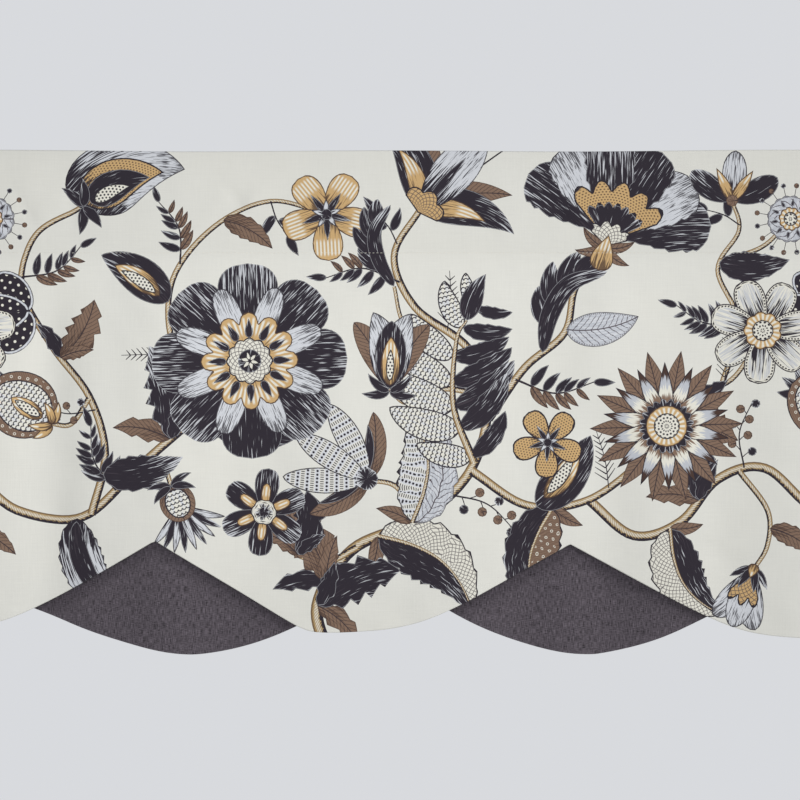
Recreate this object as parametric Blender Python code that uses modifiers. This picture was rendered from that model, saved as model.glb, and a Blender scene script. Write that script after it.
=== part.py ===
"""A window valance: one printed face panel whose lower edge is cut in scallops with three peaks, a strip
behind its heading that forms the rod pocket, and a charcoal insert sewn behind each peak.

The origin is the middle of the top edge. +X runs along the valance, +Z is up, and the printed face looks
along -Y. Lengths are in metres. Each piece of cloth is one sheet in the shape in which it hangs.
"""
from collections import namedtuple

import bmesh
import bpy
import numpy as np

# The face panel
WIDTH = 1.270
CLOTH = 0.0015
HEM_THICKNESS = 0.0024
HEM = 0.013
SIDE_HEM = 0.026
PEAK_SPACING = 0.356

# The rod pocket, between the top edge and the stitch line
POCKET = 0.089
POCKET_FRONT = 0.0022
POCKET_BACK = 0.0125
POCKET_HEM = 0.010
STRIP_SHORTER = 0.006
STRIP_LOWER = -0.0014
POCKET_HEM_SWING = 0.0005
SEAM_GAP = 0.0005

# The hang below the stitch line
STAND_OUT = 0.0022
STAND_OUT_REACH = 0.030

# The inserts
SEAM_ALLOWANCE = 0.028
INSERT_GAP = 0.0006
INSERT_SET_BACK = 0.0030
INSERT_RIPPLE = 0.0012
INSERT_RIPPLE_LENGTH = 0.085
BEHIND_THE_CORNER = 0.014

# The sheets' faces
OUTER_COLUMNS = 22
BAY_COLUMNS = 26
POCKET_ROWS = 6
HANGING_ROWS = 11
STRIP_COLUMNS = 44
STRIP_POCKET_ROWS = 8
INSERT_COLUMNS = 22
INSERT_ROWS = 7

# The panel's lower edge falls away from each peak to both sides, metres down for each metre along, and
# bends into the level stretch between two peaks. A bend is the height over which that turn is made.
Peak = namedtuple("Peak", "x z fall_left bend_left fall_right bend_right")
PEAKS = (
    Peak(-PEAK_SPACING, -0.3385, 0.600, 0.018, 0.590, 0.010),
    Peak(0.0, -0.3375, 0.610, 0.027, 0.625, 0.006),
    Peak(PEAK_SPACING, -0.3405, 0.575, 0.022, 0.550, 0.017),
)
LEVELS = (-0.4200, -0.4190, -0.4185, -0.4215)

# Soft folds of the hanging part, then those of the pocket's front. Each runs from one height to another,
# its middle and half width change on the way, and it fades in and out at its ends. A push above 0 goes
# back from the face, as a trough does, and one below 0 comes forward.
Fold = namedtuple("Fold", "x_top x_low z_top z_low half_top half_low fade push")
FOLDS = (
    Fold(-0.078, -0.070, -0.110, -0.520, 0.017, 0.032, 0.060, 0.0065),
    Fold(0.006, 0.010, -0.092, -0.520, 0.034, 0.036, 0.060, -0.0035),
    Fold(0.152, 0.165, -0.090, -0.330, 0.045, 0.050, 0.060, -0.0030),
    Fold(0.085, 0.080, -0.170, -0.520, 0.030, 0.042, 0.060, 0.0022),
    Fold(0.262, 0.255, -0.092, -0.520, 0.036, 0.040, 0.060, -0.0034),
    Fold(0.318, 0.322, -0.190, -0.520, 0.024, 0.034, 0.060, 0.0022),
    Fold(0.386, 0.378, -0.090, -0.250, 0.030, 0.034, 0.040, -0.0036),
    Fold(0.402, 0.398, -0.190, -0.520, 0.024, 0.034, 0.060, 0.0052),
    Fold(0.484, 0.490, -0.150, -0.520, 0.022, 0.030, 0.060, 0.0030),
    Fold(0.548, 0.556, -0.095, -0.520, 0.032, 0.036, 0.060, -0.0032),
    Fold(0.604, 0.600, -0.150, -0.520, 0.020, 0.026, 0.060, 0.0026),
    Fold(-0.152, -0.160, -0.092, -0.520, 0.030, 0.040, 0.060, -0.0034),
    Fold(-0.245, -0.236, -0.130, -0.520, 0.024, 0.038, 0.060, 0.0052),
    Fold(-0.330, -0.342, -0.092, -0.520, 0.034, 0.040, 0.060, -0.0034),
    Fold(-0.432, -0.438, -0.160, -0.520, 0.024, 0.034, 0.060, 0.0046),
    Fold(-0.520, -0.512, -0.095, -0.520, 0.034, 0.036, 0.060, -0.0032),
    Fold(-0.594, -0.600, -0.140, -0.520, 0.020, 0.026, 0.060, 0.0030),
    Fold(-0.078, -0.076, 0.000, -0.089, 0.018, 0.022, 0.018, 0.0012),
    Fold(0.150, 0.160, -0.004, -0.089, 0.046, 0.040, 0.020, -0.0012),
    Fold(0.318, 0.345, -0.010, -0.089, 0.022, 0.026, 0.020, 0.0012),
    Fold(0.418, 0.400, 0.000, -0.080, 0.024, 0.022, 0.018, 0.0011),
    Fold(0.520, 0.536, -0.006, -0.089, 0.034, 0.030, 0.020, -0.0012),
    Fold(-0.250, -0.270, -0.004, -0.089, 0.030, 0.036, 0.020, 0.0011),
    Fold(-0.470, -0.455, -0.006, -0.089, 0.034, 0.030, 0.020, -0.0012),
)

# Each insert's lower edge has one lowest point, and rises to a corner on either side of it. A bow of 1
# would rise in a straight line, and more than 1 bends the edge downwards.
Insert = namedtuple("Insert", "name peak low_x low_z left rise_left bow_left right rise_right bow_right")
INSERTS = (
    Insert("insert_left", PEAKS[0], -0.342, -0.4350, 0.122, 0.0365, 1.55, 0.100, 0.0290, 1.80),
    Insert("insert_centre", PEAKS[1], 0.031, -0.4345, 0.137, 0.0387, 1.60, 0.0887, 0.0243, 1.80),
    Insert("insert_right", PEAKS[2], 0.376, -0.4355, 0.1237, 0.0388, 1.85, 0.0984, 0.0333, 1.50),
)

FACE_CLOTH = ("face_cloth", (0.72, 0.72, 0.68), 0.82)
STRIP_CLOTH = ("pocket_cloth", (0.74, 0.74, 0.70), 0.86)
INSERT_CLOTH = ("charcoal_cloth", (0.088, 0.076, 0.092), 0.88)


def smooth_step(values):
    """0 below 0, 1 above 1, and a smooth climb between."""
    held = np.clip(values, 0.0, 1.0)
    return held * held * (3.0 - 2.0 * held)


def upper_of(first, second, bend):
    """The higher of two heights, rounded over where they cross."""
    return 0.5 * (first + second + np.sqrt((first - second) ** 2 + bend**2))


def lower_edge(x):
    """The panel's lower edge: a straight fall from the nearest peaks, rounded into each level stretch."""
    height = np.full(np.shape(x), np.nan)
    for number, level in enumerate(LEVELS):
        before = PEAKS[number - 1] if number else None
        after = PEAKS[number] if number < len(PEAKS) else None
        bay = np.full(np.shape(x), level)
        if before:
            bay += upper_of(before.z - before.fall_right * (x - before.x), level, before.bend_right) - level
        if after:
            bay += upper_of(after.z - after.fall_left * (after.x - x), level, after.bend_left) - level
        inside = (x >= (before.x if before else -np.inf)) & (x <= (after.x if after else np.inf))
        height = np.where(inside, bay, height)
    return height


def pocket_curve(z, corner):
    """1 in the middle of the pocket's height and 0 at the top edge and the stitch line."""
    across = np.clip(np.abs(2.0 * z / POCKET + 1.0), 0.0, 1.0)
    return 1.0 - across**corner


def folds(x, z):
    """How far the soft folds push the cloth back: bell curves across, faded in and out along their run."""
    pushed = np.zeros(np.broadcast(x, z).shape)
    for fold in FOLDS:
        along = np.clip((fold.z_top - z) / (fold.z_top - fold.z_low), 0.0, 1.0)
        middle = fold.x_top + (fold.x_low - fold.x_top) * along
        half = fold.half_top + (fold.half_low - fold.half_top) * along
        shown = smooth_step((fold.z_top - z) / fold.fade) * smooth_step((z - fold.z_low) / fold.fade)
        pushed += fold.push * shown * np.exp(-(((x - middle) / half) ** 2))
    return pushed


def face(x, z):
    """The printed face: its y at any place across and down. It stands out a little below the stitch line."""
    top = -SEAM_GAP / 2 - CLOTH
    below = np.clip(-z - POCKET, 0.0, None)
    pocket = np.where(-z < POCKET, POCKET_FRONT * pocket_curve(z, 4), 0.0)
    return top - pocket - STAND_OUT * (1.0 - np.exp(-below / STAND_OUT_REACH)) + folds(x, z)


def panel_sheet(across, up):
    """The panel: columns that stand on the peaks, and rows for the hem, the hanging part and the pocket."""
    columns = (0, OUTER_COLUMNS, OUTER_COLUMNS + BAY_COLUMNS, OUTER_COLUMNS + 2 * BAY_COLUMNS, PANEL_COLUMNS)
    stations = (-WIDTH / 2, *(peak.x for peak in PEAKS), WIDTH / 2)
    x = np.interp(across * PANEL_COLUMNS, columns, stations)
    row = up * PANEL_ROWS
    edge = lower_edge(x)
    hanging = edge + HEM + (-POCKET - edge - HEM) * (row - 1) / HANGING_ROWS
    turn = np.pi * np.clip((row - 1 - HANGING_ROWS) / POCKET_ROWS, 0.0, 1.0)
    pocket = -POCKET * 0.5 * (1.0 + np.cos(turn))
    z = np.where(row <= 1, edge + HEM * row, np.where(row <= 1 + HANGING_ROWS, hanging, pocket))
    hemmed = (row < 1) | (np.abs(x) > WIDTH / 2 - SIDE_HEM)
    return x, face(x, z), z, hemmed


def strip_sheet(across, up):
    """The pocket's back: it bows away from the panel between the top edge and the stitch line, and its
    lowest row is the hem that hangs free below the stitches."""
    x = (across - 0.5) * (WIDTH - 2 * STRIP_SHORTER)
    row = up * STRIP_ROWS
    turn = np.pi * np.clip((row - 1) / STRIP_POCKET_ROWS, 0.0, 1.0)
    z = np.where(row < 1, -POCKET - POCKET_HEM, STRIP_LOWER - POCKET * 0.5 * (1.0 + np.cos(turn)))
    bow = np.where(row < 1, POCKET_HEM_SWING, POCKET_BACK * pocket_curve(z, 8))
    return x, SEAM_GAP / 2 + bow, z, row < 1


def insert_edge(insert, x):
    """The insert's lower edge: from its lowest point it climbs to each corner as a power of the way."""
    left = insert.rise_left * (np.clip(insert.low_x - x, 0.0, None) / insert.left) ** insert.bow_left
    right = insert.rise_right * (np.clip(x - insert.low_x, 0.0, None) / insert.right) ** insert.bow_right
    return insert.low_z + left + right


def insert_sheet(insert):
    """The insert: its upper edge follows the panel's, a seam allowance higher, and it hangs a little
    further back towards its lower edge."""

    def sheet(across, up):
        start = insert.low_x - insert.left - BEHIND_THE_CORNER
        end = insert.low_x + insert.right + BEHIND_THE_CORNER
        x = np.interp(across, (0.0, 0.5, 1.0), (start, insert.peak.x, end))
        top = lower_edge(x) + SEAM_ALLOWANCE
        low = insert_edge(insert, x)
        z = low + (top - low) * up
        below = smooth_step((lower_edge(x) + HEM - z) / (SEAM_ALLOWANCE + HEM))
        ripple = np.sin(2 * np.pi * (x - insert.low_x) / INSERT_RIPPLE_LENGTH)
        back = HEM_THICKNESS + INSERT_GAP + (INSERT_SET_BACK + INSERT_RIPPLE * ripple) * below
        return x, face(x, z) + back, z, np.zeros(np.shape(x), bool)

    return sheet


def cloth_piece(name, sheet, columns, rows, cloth, home, thick=CLOTH):
    """One sheet of cloth: a grid laid on its surface, given its thickness behind the face. The hem's
    vertices take the full thickness, and the others the cloth's own."""
    grid = bmesh.new()
    bmesh.ops.create_grid(grid, x_segments=columns, y_segments=rows, size=0.5)
    weights = grid.verts.layers.deform.verify()
    flat = np.array([vertex.co for vertex in grid.verts]) + 0.5
    x, y, z, hemmed = sheet(flat[:, 0], flat[:, 1])
    for vertex, place, in_hem in zip(grid.verts, np.stack([x, y, z], axis=1), hemmed):
        vertex.co = place
        if in_hem:
            vertex[weights][0] = 1.0
    mesh = bpy.data.meshes.new(name)
    grid.to_mesh(mesh)
    grid.free()
    piece = bpy.data.objects.new(name, mesh)
    piece.vertex_groups.new(name="hem")
    home.objects.link(piece)
    solid = piece.modifiers.new("thickness", "SOLIDIFY")
    solid.thickness = thick
    solid.offset = -1.0
    solid.vertex_group = "hem"
    solid.thickness_vertex_group = CLOTH / thick
    mesh.materials.append(cloth)
    mesh.shade_smooth()
    mesh.set_sharp_from_angle(angle=np.radians(40))
    return piece


def cloth_material(name, colour, roughness):
    """A plain woven cloth."""
    material = bpy.data.materials.new(name)
    material.use_nodes = True
    shader = material.node_tree.nodes["Principled BSDF"]
    shader.inputs["Base Color"].default_value = (*colour, 1.0)
    shader.inputs["Roughness"].default_value = roughness
    shader.inputs["Metallic"].default_value = 0.0
    return material


PANEL_COLUMNS = 2 * OUTER_COLUMNS + 2 * BAY_COLUMNS
PANEL_ROWS = 1 + HANGING_ROWS + POCKET_ROWS
STRIP_ROWS = 1 + STRIP_POCKET_ROWS


def main():
    for old in list(bpy.data.objects):
        bpy.data.objects.remove(old, do_unlink=True)
    home = bpy.data.collections.new("window_valance")
    bpy.context.scene.collection.children.link(home)
    face_cloth = cloth_material(*FACE_CLOTH)
    strip_cloth = cloth_material(*STRIP_CLOTH)
    insert_cloth = cloth_material(*INSERT_CLOTH)
    cloth_piece("face_panel", panel_sheet, PANEL_COLUMNS, PANEL_ROWS, face_cloth, home, HEM_THICKNESS)
    cloth_piece("pocket_strip", strip_sheet, STRIP_COLUMNS, STRIP_ROWS, strip_cloth, home)
    for insert in INSERTS:
        cloth_piece(insert.name, insert_sheet(insert), INSERT_COLUMNS, INSERT_ROWS, insert_cloth, home)


main()
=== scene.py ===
"""The looks of a window valance: a printed face panel with a scalloped edge, the strip behind its heading
that forms the rod pocket, charcoal inserts behind the three peaks, and the stitches of the pocket, hems and
inserts. The panel's back shows its hems, and the print through the cloth.

Lengths are in metres. +X runs along the valance, +Z is up, and the printed face looks along -Y.
"""

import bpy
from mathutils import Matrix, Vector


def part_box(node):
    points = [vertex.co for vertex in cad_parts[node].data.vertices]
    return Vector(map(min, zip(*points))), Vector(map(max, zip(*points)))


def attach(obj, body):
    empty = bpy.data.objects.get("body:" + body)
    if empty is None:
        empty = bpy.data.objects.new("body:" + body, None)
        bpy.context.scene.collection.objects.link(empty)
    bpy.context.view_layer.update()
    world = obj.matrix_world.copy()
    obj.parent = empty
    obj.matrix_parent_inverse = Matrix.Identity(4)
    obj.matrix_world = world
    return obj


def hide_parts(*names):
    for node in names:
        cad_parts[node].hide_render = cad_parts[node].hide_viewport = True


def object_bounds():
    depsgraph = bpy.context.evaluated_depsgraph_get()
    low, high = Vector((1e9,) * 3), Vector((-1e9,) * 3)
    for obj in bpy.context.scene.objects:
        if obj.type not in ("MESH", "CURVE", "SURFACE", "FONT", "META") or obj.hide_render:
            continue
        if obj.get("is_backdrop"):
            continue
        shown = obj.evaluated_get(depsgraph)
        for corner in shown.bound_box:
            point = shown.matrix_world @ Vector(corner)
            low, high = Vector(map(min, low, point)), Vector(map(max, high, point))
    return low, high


bl_info = {
    "name": "Window valance",
    "version": (1, 0, 0),
    "blender": (4, 5, 0),
    "location": "3D View > Sidebar > Valance",
    "description": "Builds a scalloped window valance in a trailing floral print",
    "category": "Object",
}

from collections import namedtuple
from functools import partial

import bpy
import numpy as np
from bpy.props import FloatProperty, FloatVectorProperty, PointerProperty
from mathutils import Vector
from mathutils.geometry import delaunay_2d_cdt

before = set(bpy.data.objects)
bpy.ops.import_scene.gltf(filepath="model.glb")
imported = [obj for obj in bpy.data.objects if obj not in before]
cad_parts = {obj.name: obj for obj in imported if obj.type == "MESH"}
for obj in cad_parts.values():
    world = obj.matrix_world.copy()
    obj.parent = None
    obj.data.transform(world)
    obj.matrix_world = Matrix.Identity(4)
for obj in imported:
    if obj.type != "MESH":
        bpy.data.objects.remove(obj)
CAD_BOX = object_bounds()
PANEL_LOW, PANEL_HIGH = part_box("face_panel")
STRIP_LOW, STRIP_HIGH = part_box("pocket_strip")

MM = 0.001

# The face panel and its hems
WIDTH = PANEL_HIGH.x - PANEL_LOW.x
HEM = 13 * MM
SIDE_HEM = 26 * MM
PEAK_SPACING = 356 * MM
FACE_DEPTH = 1.5 * MM
HEM_DEPTH = 2.4 * MM
HEM_STEP = 0.6 * MM
HEM_CLEAR = 0.25 * MM

# The panel's rounded edge: a border of its front, and three rows of places, each so far out and so deep
RIM = 0.8 * MM
RIM_FRONT, RIM_MIDDLE, RIM_BACK = (-0.25 * MM, 0.06), (0.35 * MM, 0.5), (-0.25 * MM, 0.94)

# The rod pocket and the seams
POCKET = 89 * MM
POCKET_FRONT = 2.2 * MM
POCKET_BACK = 12.5 * MM
POCKET_HEM = 10 * MM
POCKET_HEM_SWING = 0.5 * MM
STRIP_DEPTH = 1.4 * MM
STRIP_SAG = 0.35 * MM
HEADING_DIP = 2.2 * MM
SEAM_GAP = 0.5 * MM
STAND_OUT = 2.2 * MM
STAND_OUT_REACH = 30 * MM

# The inserts
SEAM_ALLOWANCE = 28 * MM
INSERT_GAP = 0.6 * MM
INSERT_SET_BACK = 3.0 * MM
INSERT_RIPPLE = 1.2 * MM
INSERT_RIPPLE_LENGTH = 85 * MM
INSERT_DEPTH = 1.1 * MM
INSERT_HEM = 0.5 * MM
BEHIND_THE_CORNER = 14 * MM
TAPER = 75 * MM
ROUNDED = 0.35 * MM

# Each sheet laid out flat: its height, and how its area follows from its width
PANEL_FLAT, PANEL_MEAN, PANEL_HEMS_AREA = 0.446, 0.40, 0.05
STRIP_FLAT = 0.130
INSERT_FLAT, INSERT_SHARE = 0.126, 0.60

# The stitches: the first and last along a row, those of the hems, and the overcast upper edge of an insert
ROW_END, HEM_ROW_END, SEAM_START = 4 * MM, 6 * MM, 2 * MM
HEM_STITCH, HEM_STITCH_IN, HEM_STITCH_OUT = 2.4 * MM, 1.3 * MM, 1.1 * MM
SEAM_UP = 7 * MM
OVERCAST_HIGH, OVERCAST_LOW, OVERCAST_RUN = -0.2 * MM, -3.4 * MM, 1.7 * MM

# How closely the pieces are cut, the panel where its print doesn't ask for more
OUTLINE_STEP = 4 * MM
FRONT_STEP, BACK_STEP, CREASE_STEP = 7 * MM, 11 * MM, 4 * MM
CREASE_REACH = 1.4
RIBBED, SEEN_THROUGH = 1.3 * MM, 14 * MM
HEM_ROWS = (-1.2 * MM, -0.3 * MM, 0.3 * MM, 1.2 * MM)
NEAREST = 0.001
STRIP_COLUMNS, STRIP_ROWS = 260, 56
INSERT_COLUMNS, INSERT_ROWS = 96, 44
STITCH_PLACES, STITCH_SIDES = 5, 5

# The bake map: the left and the right half of the panel's front lie one above the other, then the back, then
# the rim. These are shares of the map, and MAP_HEIGHT is how many metres of cloth its height would hold.
MAP_MARGIN, MAP_SPAN, MAP_HEIGHT = 0.003, 0.994, 0.425 / 0.405
MAP_LEFT_TOP, MAP_RIGHT_TOP = 0.407, 0.815
MAP_BACK_TOP, MAP_BACK_SCALE = 0.955, 0.31
MAP_RIM, MAP_RIM_ROW = 0.965, 0.012

# The panel's lower edge falls away from each peak to both sides, and bends into the level stretches.
Peak = namedtuple("Peak", "x z fall_left bend_left fall_right bend_right")
PEAKS = (
    Peak(-PEAK_SPACING, -0.3385, 0.600, 0.018, 0.590, 0.010),
    Peak(0.0, -0.3375, 0.610, 0.027, 0.625, 0.006),
    Peak(PEAK_SPACING, -0.3405, 0.575, 0.022, 0.550, 0.017),
)
LEVELS = (-0.4200, -0.4190, -0.4185, -0.4215)

# Soft folds: each runs down from one height to another, with its middle, its half width and how far it
# pushes the cloth back. Most of them run on past the lower edge.
Fold = namedtuple("Fold", "x_top x_low z_top half_top half_low push z_low fade", defaults=(-0.520, 0.060))
FOLDS = [Fold(*row) for row in (
    (-0.093, -0.089, -0.11, 0.019, 0.034, 0.006), (0.006, 0.01, -0.092, 0.034, 0.036, -0.0035),
    (0.152, 0.165, -0.09, 0.045, 0.05, -0.003, -0.33), (0.085, 0.08, -0.17, 0.03, 0.042, 0.0022),
    (0.262, 0.255, -0.092, 0.036, 0.04, -0.0034), (0.318, 0.322, -0.19, 0.024, 0.034, 0.0022),
    (0.386, 0.378, -0.09, 0.03, 0.034, -0.0036, -0.25, 0.04), (0.387, 0.383, -0.19, 0.024, 0.034, 0.005),
    (0.484, 0.49, -0.15, 0.022, 0.03, 0.003), (0.548, 0.556, -0.095, 0.032, 0.036, -0.0032),
    (0.604, 0.6, -0.15, 0.02, 0.026, 0.0026), (-0.152, -0.16, -0.092, 0.03, 0.04, -0.0034),
    (-0.245, -0.236, -0.13, 0.024, 0.038, 0.0052), (-0.33, -0.342, -0.092, 0.034, 0.04, -0.0034),
    (-0.432, -0.438, -0.16, 0.024, 0.034, 0.0046), (-0.52, -0.512, -0.095, 0.034, 0.036, -0.0032),
    (-0.594, -0.6, -0.14, 0.02, 0.026, 0.003), (-0.078, -0.076, 0.0, 0.018, 0.022, 0.0012, -0.089, 0.018),
    (0.15, 0.16, -0.004, 0.046, 0.04, -0.0012, -0.089, 0.02),
    (0.318, 0.345, -0.01, 0.022, 0.026, 0.0012, -0.089, 0.02),
    (0.418, 0.4, 0.0, 0.024, 0.022, 0.0011, -0.08, 0.018),
    (0.52, 0.536, -0.006, 0.034, 0.03, -0.0012, -0.089, 0.02),
    (-0.25, -0.27, -0.004, 0.03, 0.036, 0.0011, -0.089, 0.02),
    (-0.47, -0.455, -0.006, 0.034, 0.03, -0.0012, -0.089, 0.02),
)]

# Creases: short soft bends from one place to another, most of them slanting across the pocket's front.
Crease = namedtuple("Crease", "x_start z_start x_end z_end half push")
CREASES = [Crease(*row) for row in (
    (0.317, -0.024, 0.373, -0.082, 0.0055, 0.0012), (0.333, -0.02, 0.389, -0.08, 0.006, -0.0009),
    (0.381, -0.01, 0.416, -0.036, 0.0055, 0.001), (0.448, -0.052, 0.468, -0.082, 0.005, 0.001),
    (0.47, -0.04, 0.502, -0.084, 0.006, 0.001), (0.486, -0.018, 0.522, -0.048, 0.006, 0.001),
    (0.522, -0.072, 0.56, -0.078, 0.0045, 0.0009), (-0.128, -0.026, -0.096, -0.08, 0.006, 0.001),
    (-0.075, -0.012, -0.072, -0.08, 0.006, 0.001), (0.05, -0.018, 0.086, -0.066, 0.0065, 0.001),
    (0.092, -0.03, 0.06, -0.078, 0.007, -0.0008), (0.214, -0.044, 0.262, -0.08, 0.0065, 0.0009),
    (0.234, -0.026, 0.296, -0.076, 0.0065, 0.0011), (0.28, -0.044, 0.306, -0.084, 0.0055, -0.0009),
    (-0.196, -0.018, -0.158, -0.074, 0.0065, 0.001), (-0.352, -0.04, -0.306, -0.08, 0.006, 0.001),
    (-0.428, -0.016, -0.404, -0.066, 0.0055, -0.0009), (-0.556, -0.03, -0.516, -0.078, 0.006, 0.0011),
    (0.59, -0.02, 0.562, -0.07, 0.006, 0.001), (0.3, -0.106, 0.372, -0.132, 0.009, 0.001),
    (-0.105, -0.3, -0.035, -0.36, 0.01, 0.001), (0.452, -0.33, 0.52, -0.372, 0.01, 0.0009),
)]
RUMPLE = 0.30 * MM

# Each insert's lower edge has one lowest point, and rises to a corner on either side of it.
Insert = namedtuple("Insert", "name peak low_x low_z left rise_left bow_left right rise_right bow_right")
INSERTS = (
    Insert("insert_left", PEAKS[0], -0.342, -0.4350, 0.122, 0.0365, 1.55, 0.100, 0.0290, 1.80),
    Insert("insert_centre", PEAKS[1], 0.031, -0.4345, 0.137, 0.0387, 1.60, 0.0887, 0.0243, 1.80),
    Insert("insert_right", PEAKS[2], 0.376, -0.4355, 0.1237, 0.0388, 1.85, 0.0984, 0.0333, 1.50),
)


# The cloth's shape


def smooth_step(values):
    """0 below 0, 1 above 1, and a smooth climb between: 3v^2 - 2v^3."""
    held = np.clip(values, 0.0, 1.0)
    return held * held * (3.0 - 2.0 * held)


def upper_of(first, second, bend):
    """The higher of two heights, rounded where they cross: half their sum and root(difference^2 + bend^2)."""
    return 0.5 * (first + second + np.sqrt((first - second) ** 2 + bend**2))


def lower_edge(x):
    """The panel's lower edge: a straight fall from the nearest peaks, rounded into each level stretch."""
    height = np.full(np.shape(x), np.nan)
    for number, level in enumerate(LEVELS):
        before = PEAKS[number - 1] if number else None
        after = PEAKS[number] if number < len(PEAKS) else None
        bay = np.full(np.shape(x), level)
        if before:
            bay += upper_of(before.z - before.fall_right * (x - before.x), level, before.bend_right) - level
        if after:
            bay += upper_of(after.z - after.fall_left * (after.x - x), level, after.bend_left) - level
        inside = (x >= (before.x if before else -np.inf)) & (x <= (after.x if after else np.inf))
        height = np.where(inside, bay, height)
    return height


def pocket_curve(z, corner):
    """1 in the middle of the pocket's height and 0 at the top edge and the stitch line: 1 - |way|^corner."""
    across = np.clip(np.abs(2.0 * z / POCKET + 1.0), 0.0, 1.0)
    return 1.0 - across**corner


def folds(x, z):
    """How far the soft folds push the cloth back: bell curves across, faded in and out along their run."""
    pushed = np.zeros(np.broadcast(x, z).shape)
    for fold in FOLDS:
        along = np.clip((fold.z_top - z) / (fold.z_top - fold.z_low), 0.0, 1.0)
        middle = fold.x_top + (fold.x_low - fold.x_top) * along
        half = fold.half_top + (fold.half_low - fold.half_top) * along
        shown = smooth_step((fold.z_top - z) / fold.fade) * smooth_step((z - fold.z_low) / fold.fade)
        pushed += fold.push * shown * np.exp(-(((x - middle) / half) ** 2))
    return pushed


def face(x, z):
    """The y of the printed face without its creases. In the pocket it bows out by 1 - |way|^4, and below the
    stitch line it stands out by 1 - exp(-way), and the folds push it back."""
    top = -SEAM_GAP / 2 - FACE_DEPTH
    below = np.clip(-z - POCKET, 0.0, None)
    pocket = np.where(-z < POCKET, POCKET_FRONT * pocket_curve(z, 4), 0.0)
    return top - pocket - STAND_OUT * (1.0 - np.exp(-below / STAND_OUT_REACH)) + folds(x, z)


def creases(x, z):
    """How far the creases push the cloth back: a bell curve across each one's line and a sine arch along it,
    and all over a small rumple of two crossed waves. The top edge and the stitch line hold the cloth flat."""
    pushed = np.zeros(np.broadcast(x, z).shape)
    for crease in CREASES:
        run = np.array([crease.x_end - crease.x_start, crease.z_end - crease.z_start])
        length = np.hypot(*run)
        along = ((x - crease.x_start) * run[0] + (z - crease.z_start) * run[1]) / length**2
        across = ((x - crease.x_start) * run[1] - (z - crease.z_start) * run[0]) / length
        arch = np.sin(np.pi * np.clip(along * 0.8 + 0.1, 0.0, 1.0)) ** 2
        pushed += crease.push * arch * np.exp(-((across / crease.half) ** 2))
    sway = np.sin(x * 141 + 1.7 * np.sin(z * 47)) * np.sin(z * 83 + 1.3 * np.sin(x * 39 + 0.8))
    stretched = np.sin(np.pi * np.clip(-z / POCKET, 0.0, 1.0)) + smooth_step((-z - POCKET) / 0.02)
    return (pushed + RUMPLE * sway) * np.clip(stretched, 0.0, 1.0)


def panel_face(x, z):
    """The printed face with its creases."""
    return face(x, z) + creases(x, z)


def hem_depth(x, z):
    """The panel's thickness: one layer of cloth, and more in the hems turned to the back."""
    low = smooth_step((lower_edge(x) + HEM - z) / HEM_STEP + 0.5)
    side = smooth_step((np.abs(x) - WIDTH / 2 + SIDE_HEM) / HEM_STEP + 0.5)
    return FACE_DEPTH * 0.95 + (HEM_DEPTH - FACE_DEPTH) * 0.95 * np.maximum(low, side)


def panel_back(x, z):
    """The back of the face panel."""
    return panel_face(x, z) + hem_depth(x, z)


def dip(x, z):
    """How far the heading sinks where the rod holds it less: two slow waves, gone at the stitch line."""
    waves = 0.5 + 0.25 * np.sin(19.0 * x + 1.0) + 0.25 * np.sin(4.6 * x + 0.65)
    return HEADING_DIP * waves * smooth_step(1.0 + z / POCKET)


def unit(vectors):
    """The vectors made one long."""
    return vectors / np.linalg.norm(vectors, axis=-1, keepdims=True)


def face_normals(surface, x, z, step=0.6 * MM):
    """The way a surface y = surface(x, z) faces, towards -Y: (dy/dx, -1, dy/dz), made one long."""
    slope_x = (surface(x + step, z) - surface(x - step, z)) / (2 * step)
    slope_z = (surface(x, z + step) - surface(x, z - step)) / (2 * step)
    return unit(np.stack([slope_x, -np.ones_like(slope_x), slope_z], axis=-1))


def strip_surface(u, v):
    """The pocket strip's front: x runs across, and z up from the free hem by a half cosine. y bows back by
    1 - |way|^8 in the pocket, sags by two crossed waves, and swings out in the hem."""
    hem = POCKET_HEM / (POCKET + POCKET_HEM)
    turn = np.pi * np.clip((v - hem) / (1 - hem), 0.0, 1.0)
    low = np.clip(v / hem, 0.0, 1.0)
    z = STRIP_HIGH.z - STRIP_DEPTH - POCKET * 0.5 * (1.0 + np.cos(turn)) - POCKET_HEM * (1.0 - low)
    z = np.minimum(z, STRIP_HIGH.z)
    x = (u - 0.5) * (STRIP_HIGH.x - STRIP_LOW.x)
    sag = STRIP_SAG * np.sin(x * 90 + 2.0 * np.sin(z * 60)) * pocket_curve(z, 4)
    bow = np.where(v < hem, POCKET_HEM_SWING * (1.0 - low), POCKET_BACK * pocket_curve(z, 8))
    return x, SEAM_GAP / 2 + bow + sag, z - dip(x, z)


def strip_back(x, z):
    """The back of the pocket strip along its stitch line."""
    return SEAM_GAP / 2 + STRIP_DEPTH + 0 * x


def insert_edge(insert, x):
    """The insert's lower edge: from its lowest point it climbs to each corner as a power of the way."""
    left = insert.rise_left * (np.clip(insert.low_x - x, 0.0, None) / insert.left) ** insert.bow_left
    right = insert.rise_right * (np.clip(x - insert.low_x, 0.0, None) / insert.right) ** insert.bow_right
    return insert.low_z + left + right


def insert_ends(insert):
    """Where the insert starts and ends along the valance, behind the corners of its lower edge."""
    return insert.low_x - insert.left - BEHIND_THE_CORNER, insert.low_x + insert.right + BEHIND_THE_CORNER


def insert_top(insert, x):
    """The insert's upper edge: a seam allowance above the panel's lower edge, less towards both ends."""
    start, end = insert_ends(insert)
    inner = smooth_step(np.minimum(x - start, end - x) / TAPER)
    return lower_edge(x) + SEAM_ALLOWANCE * (0.45 + 0.55 * inner)


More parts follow.
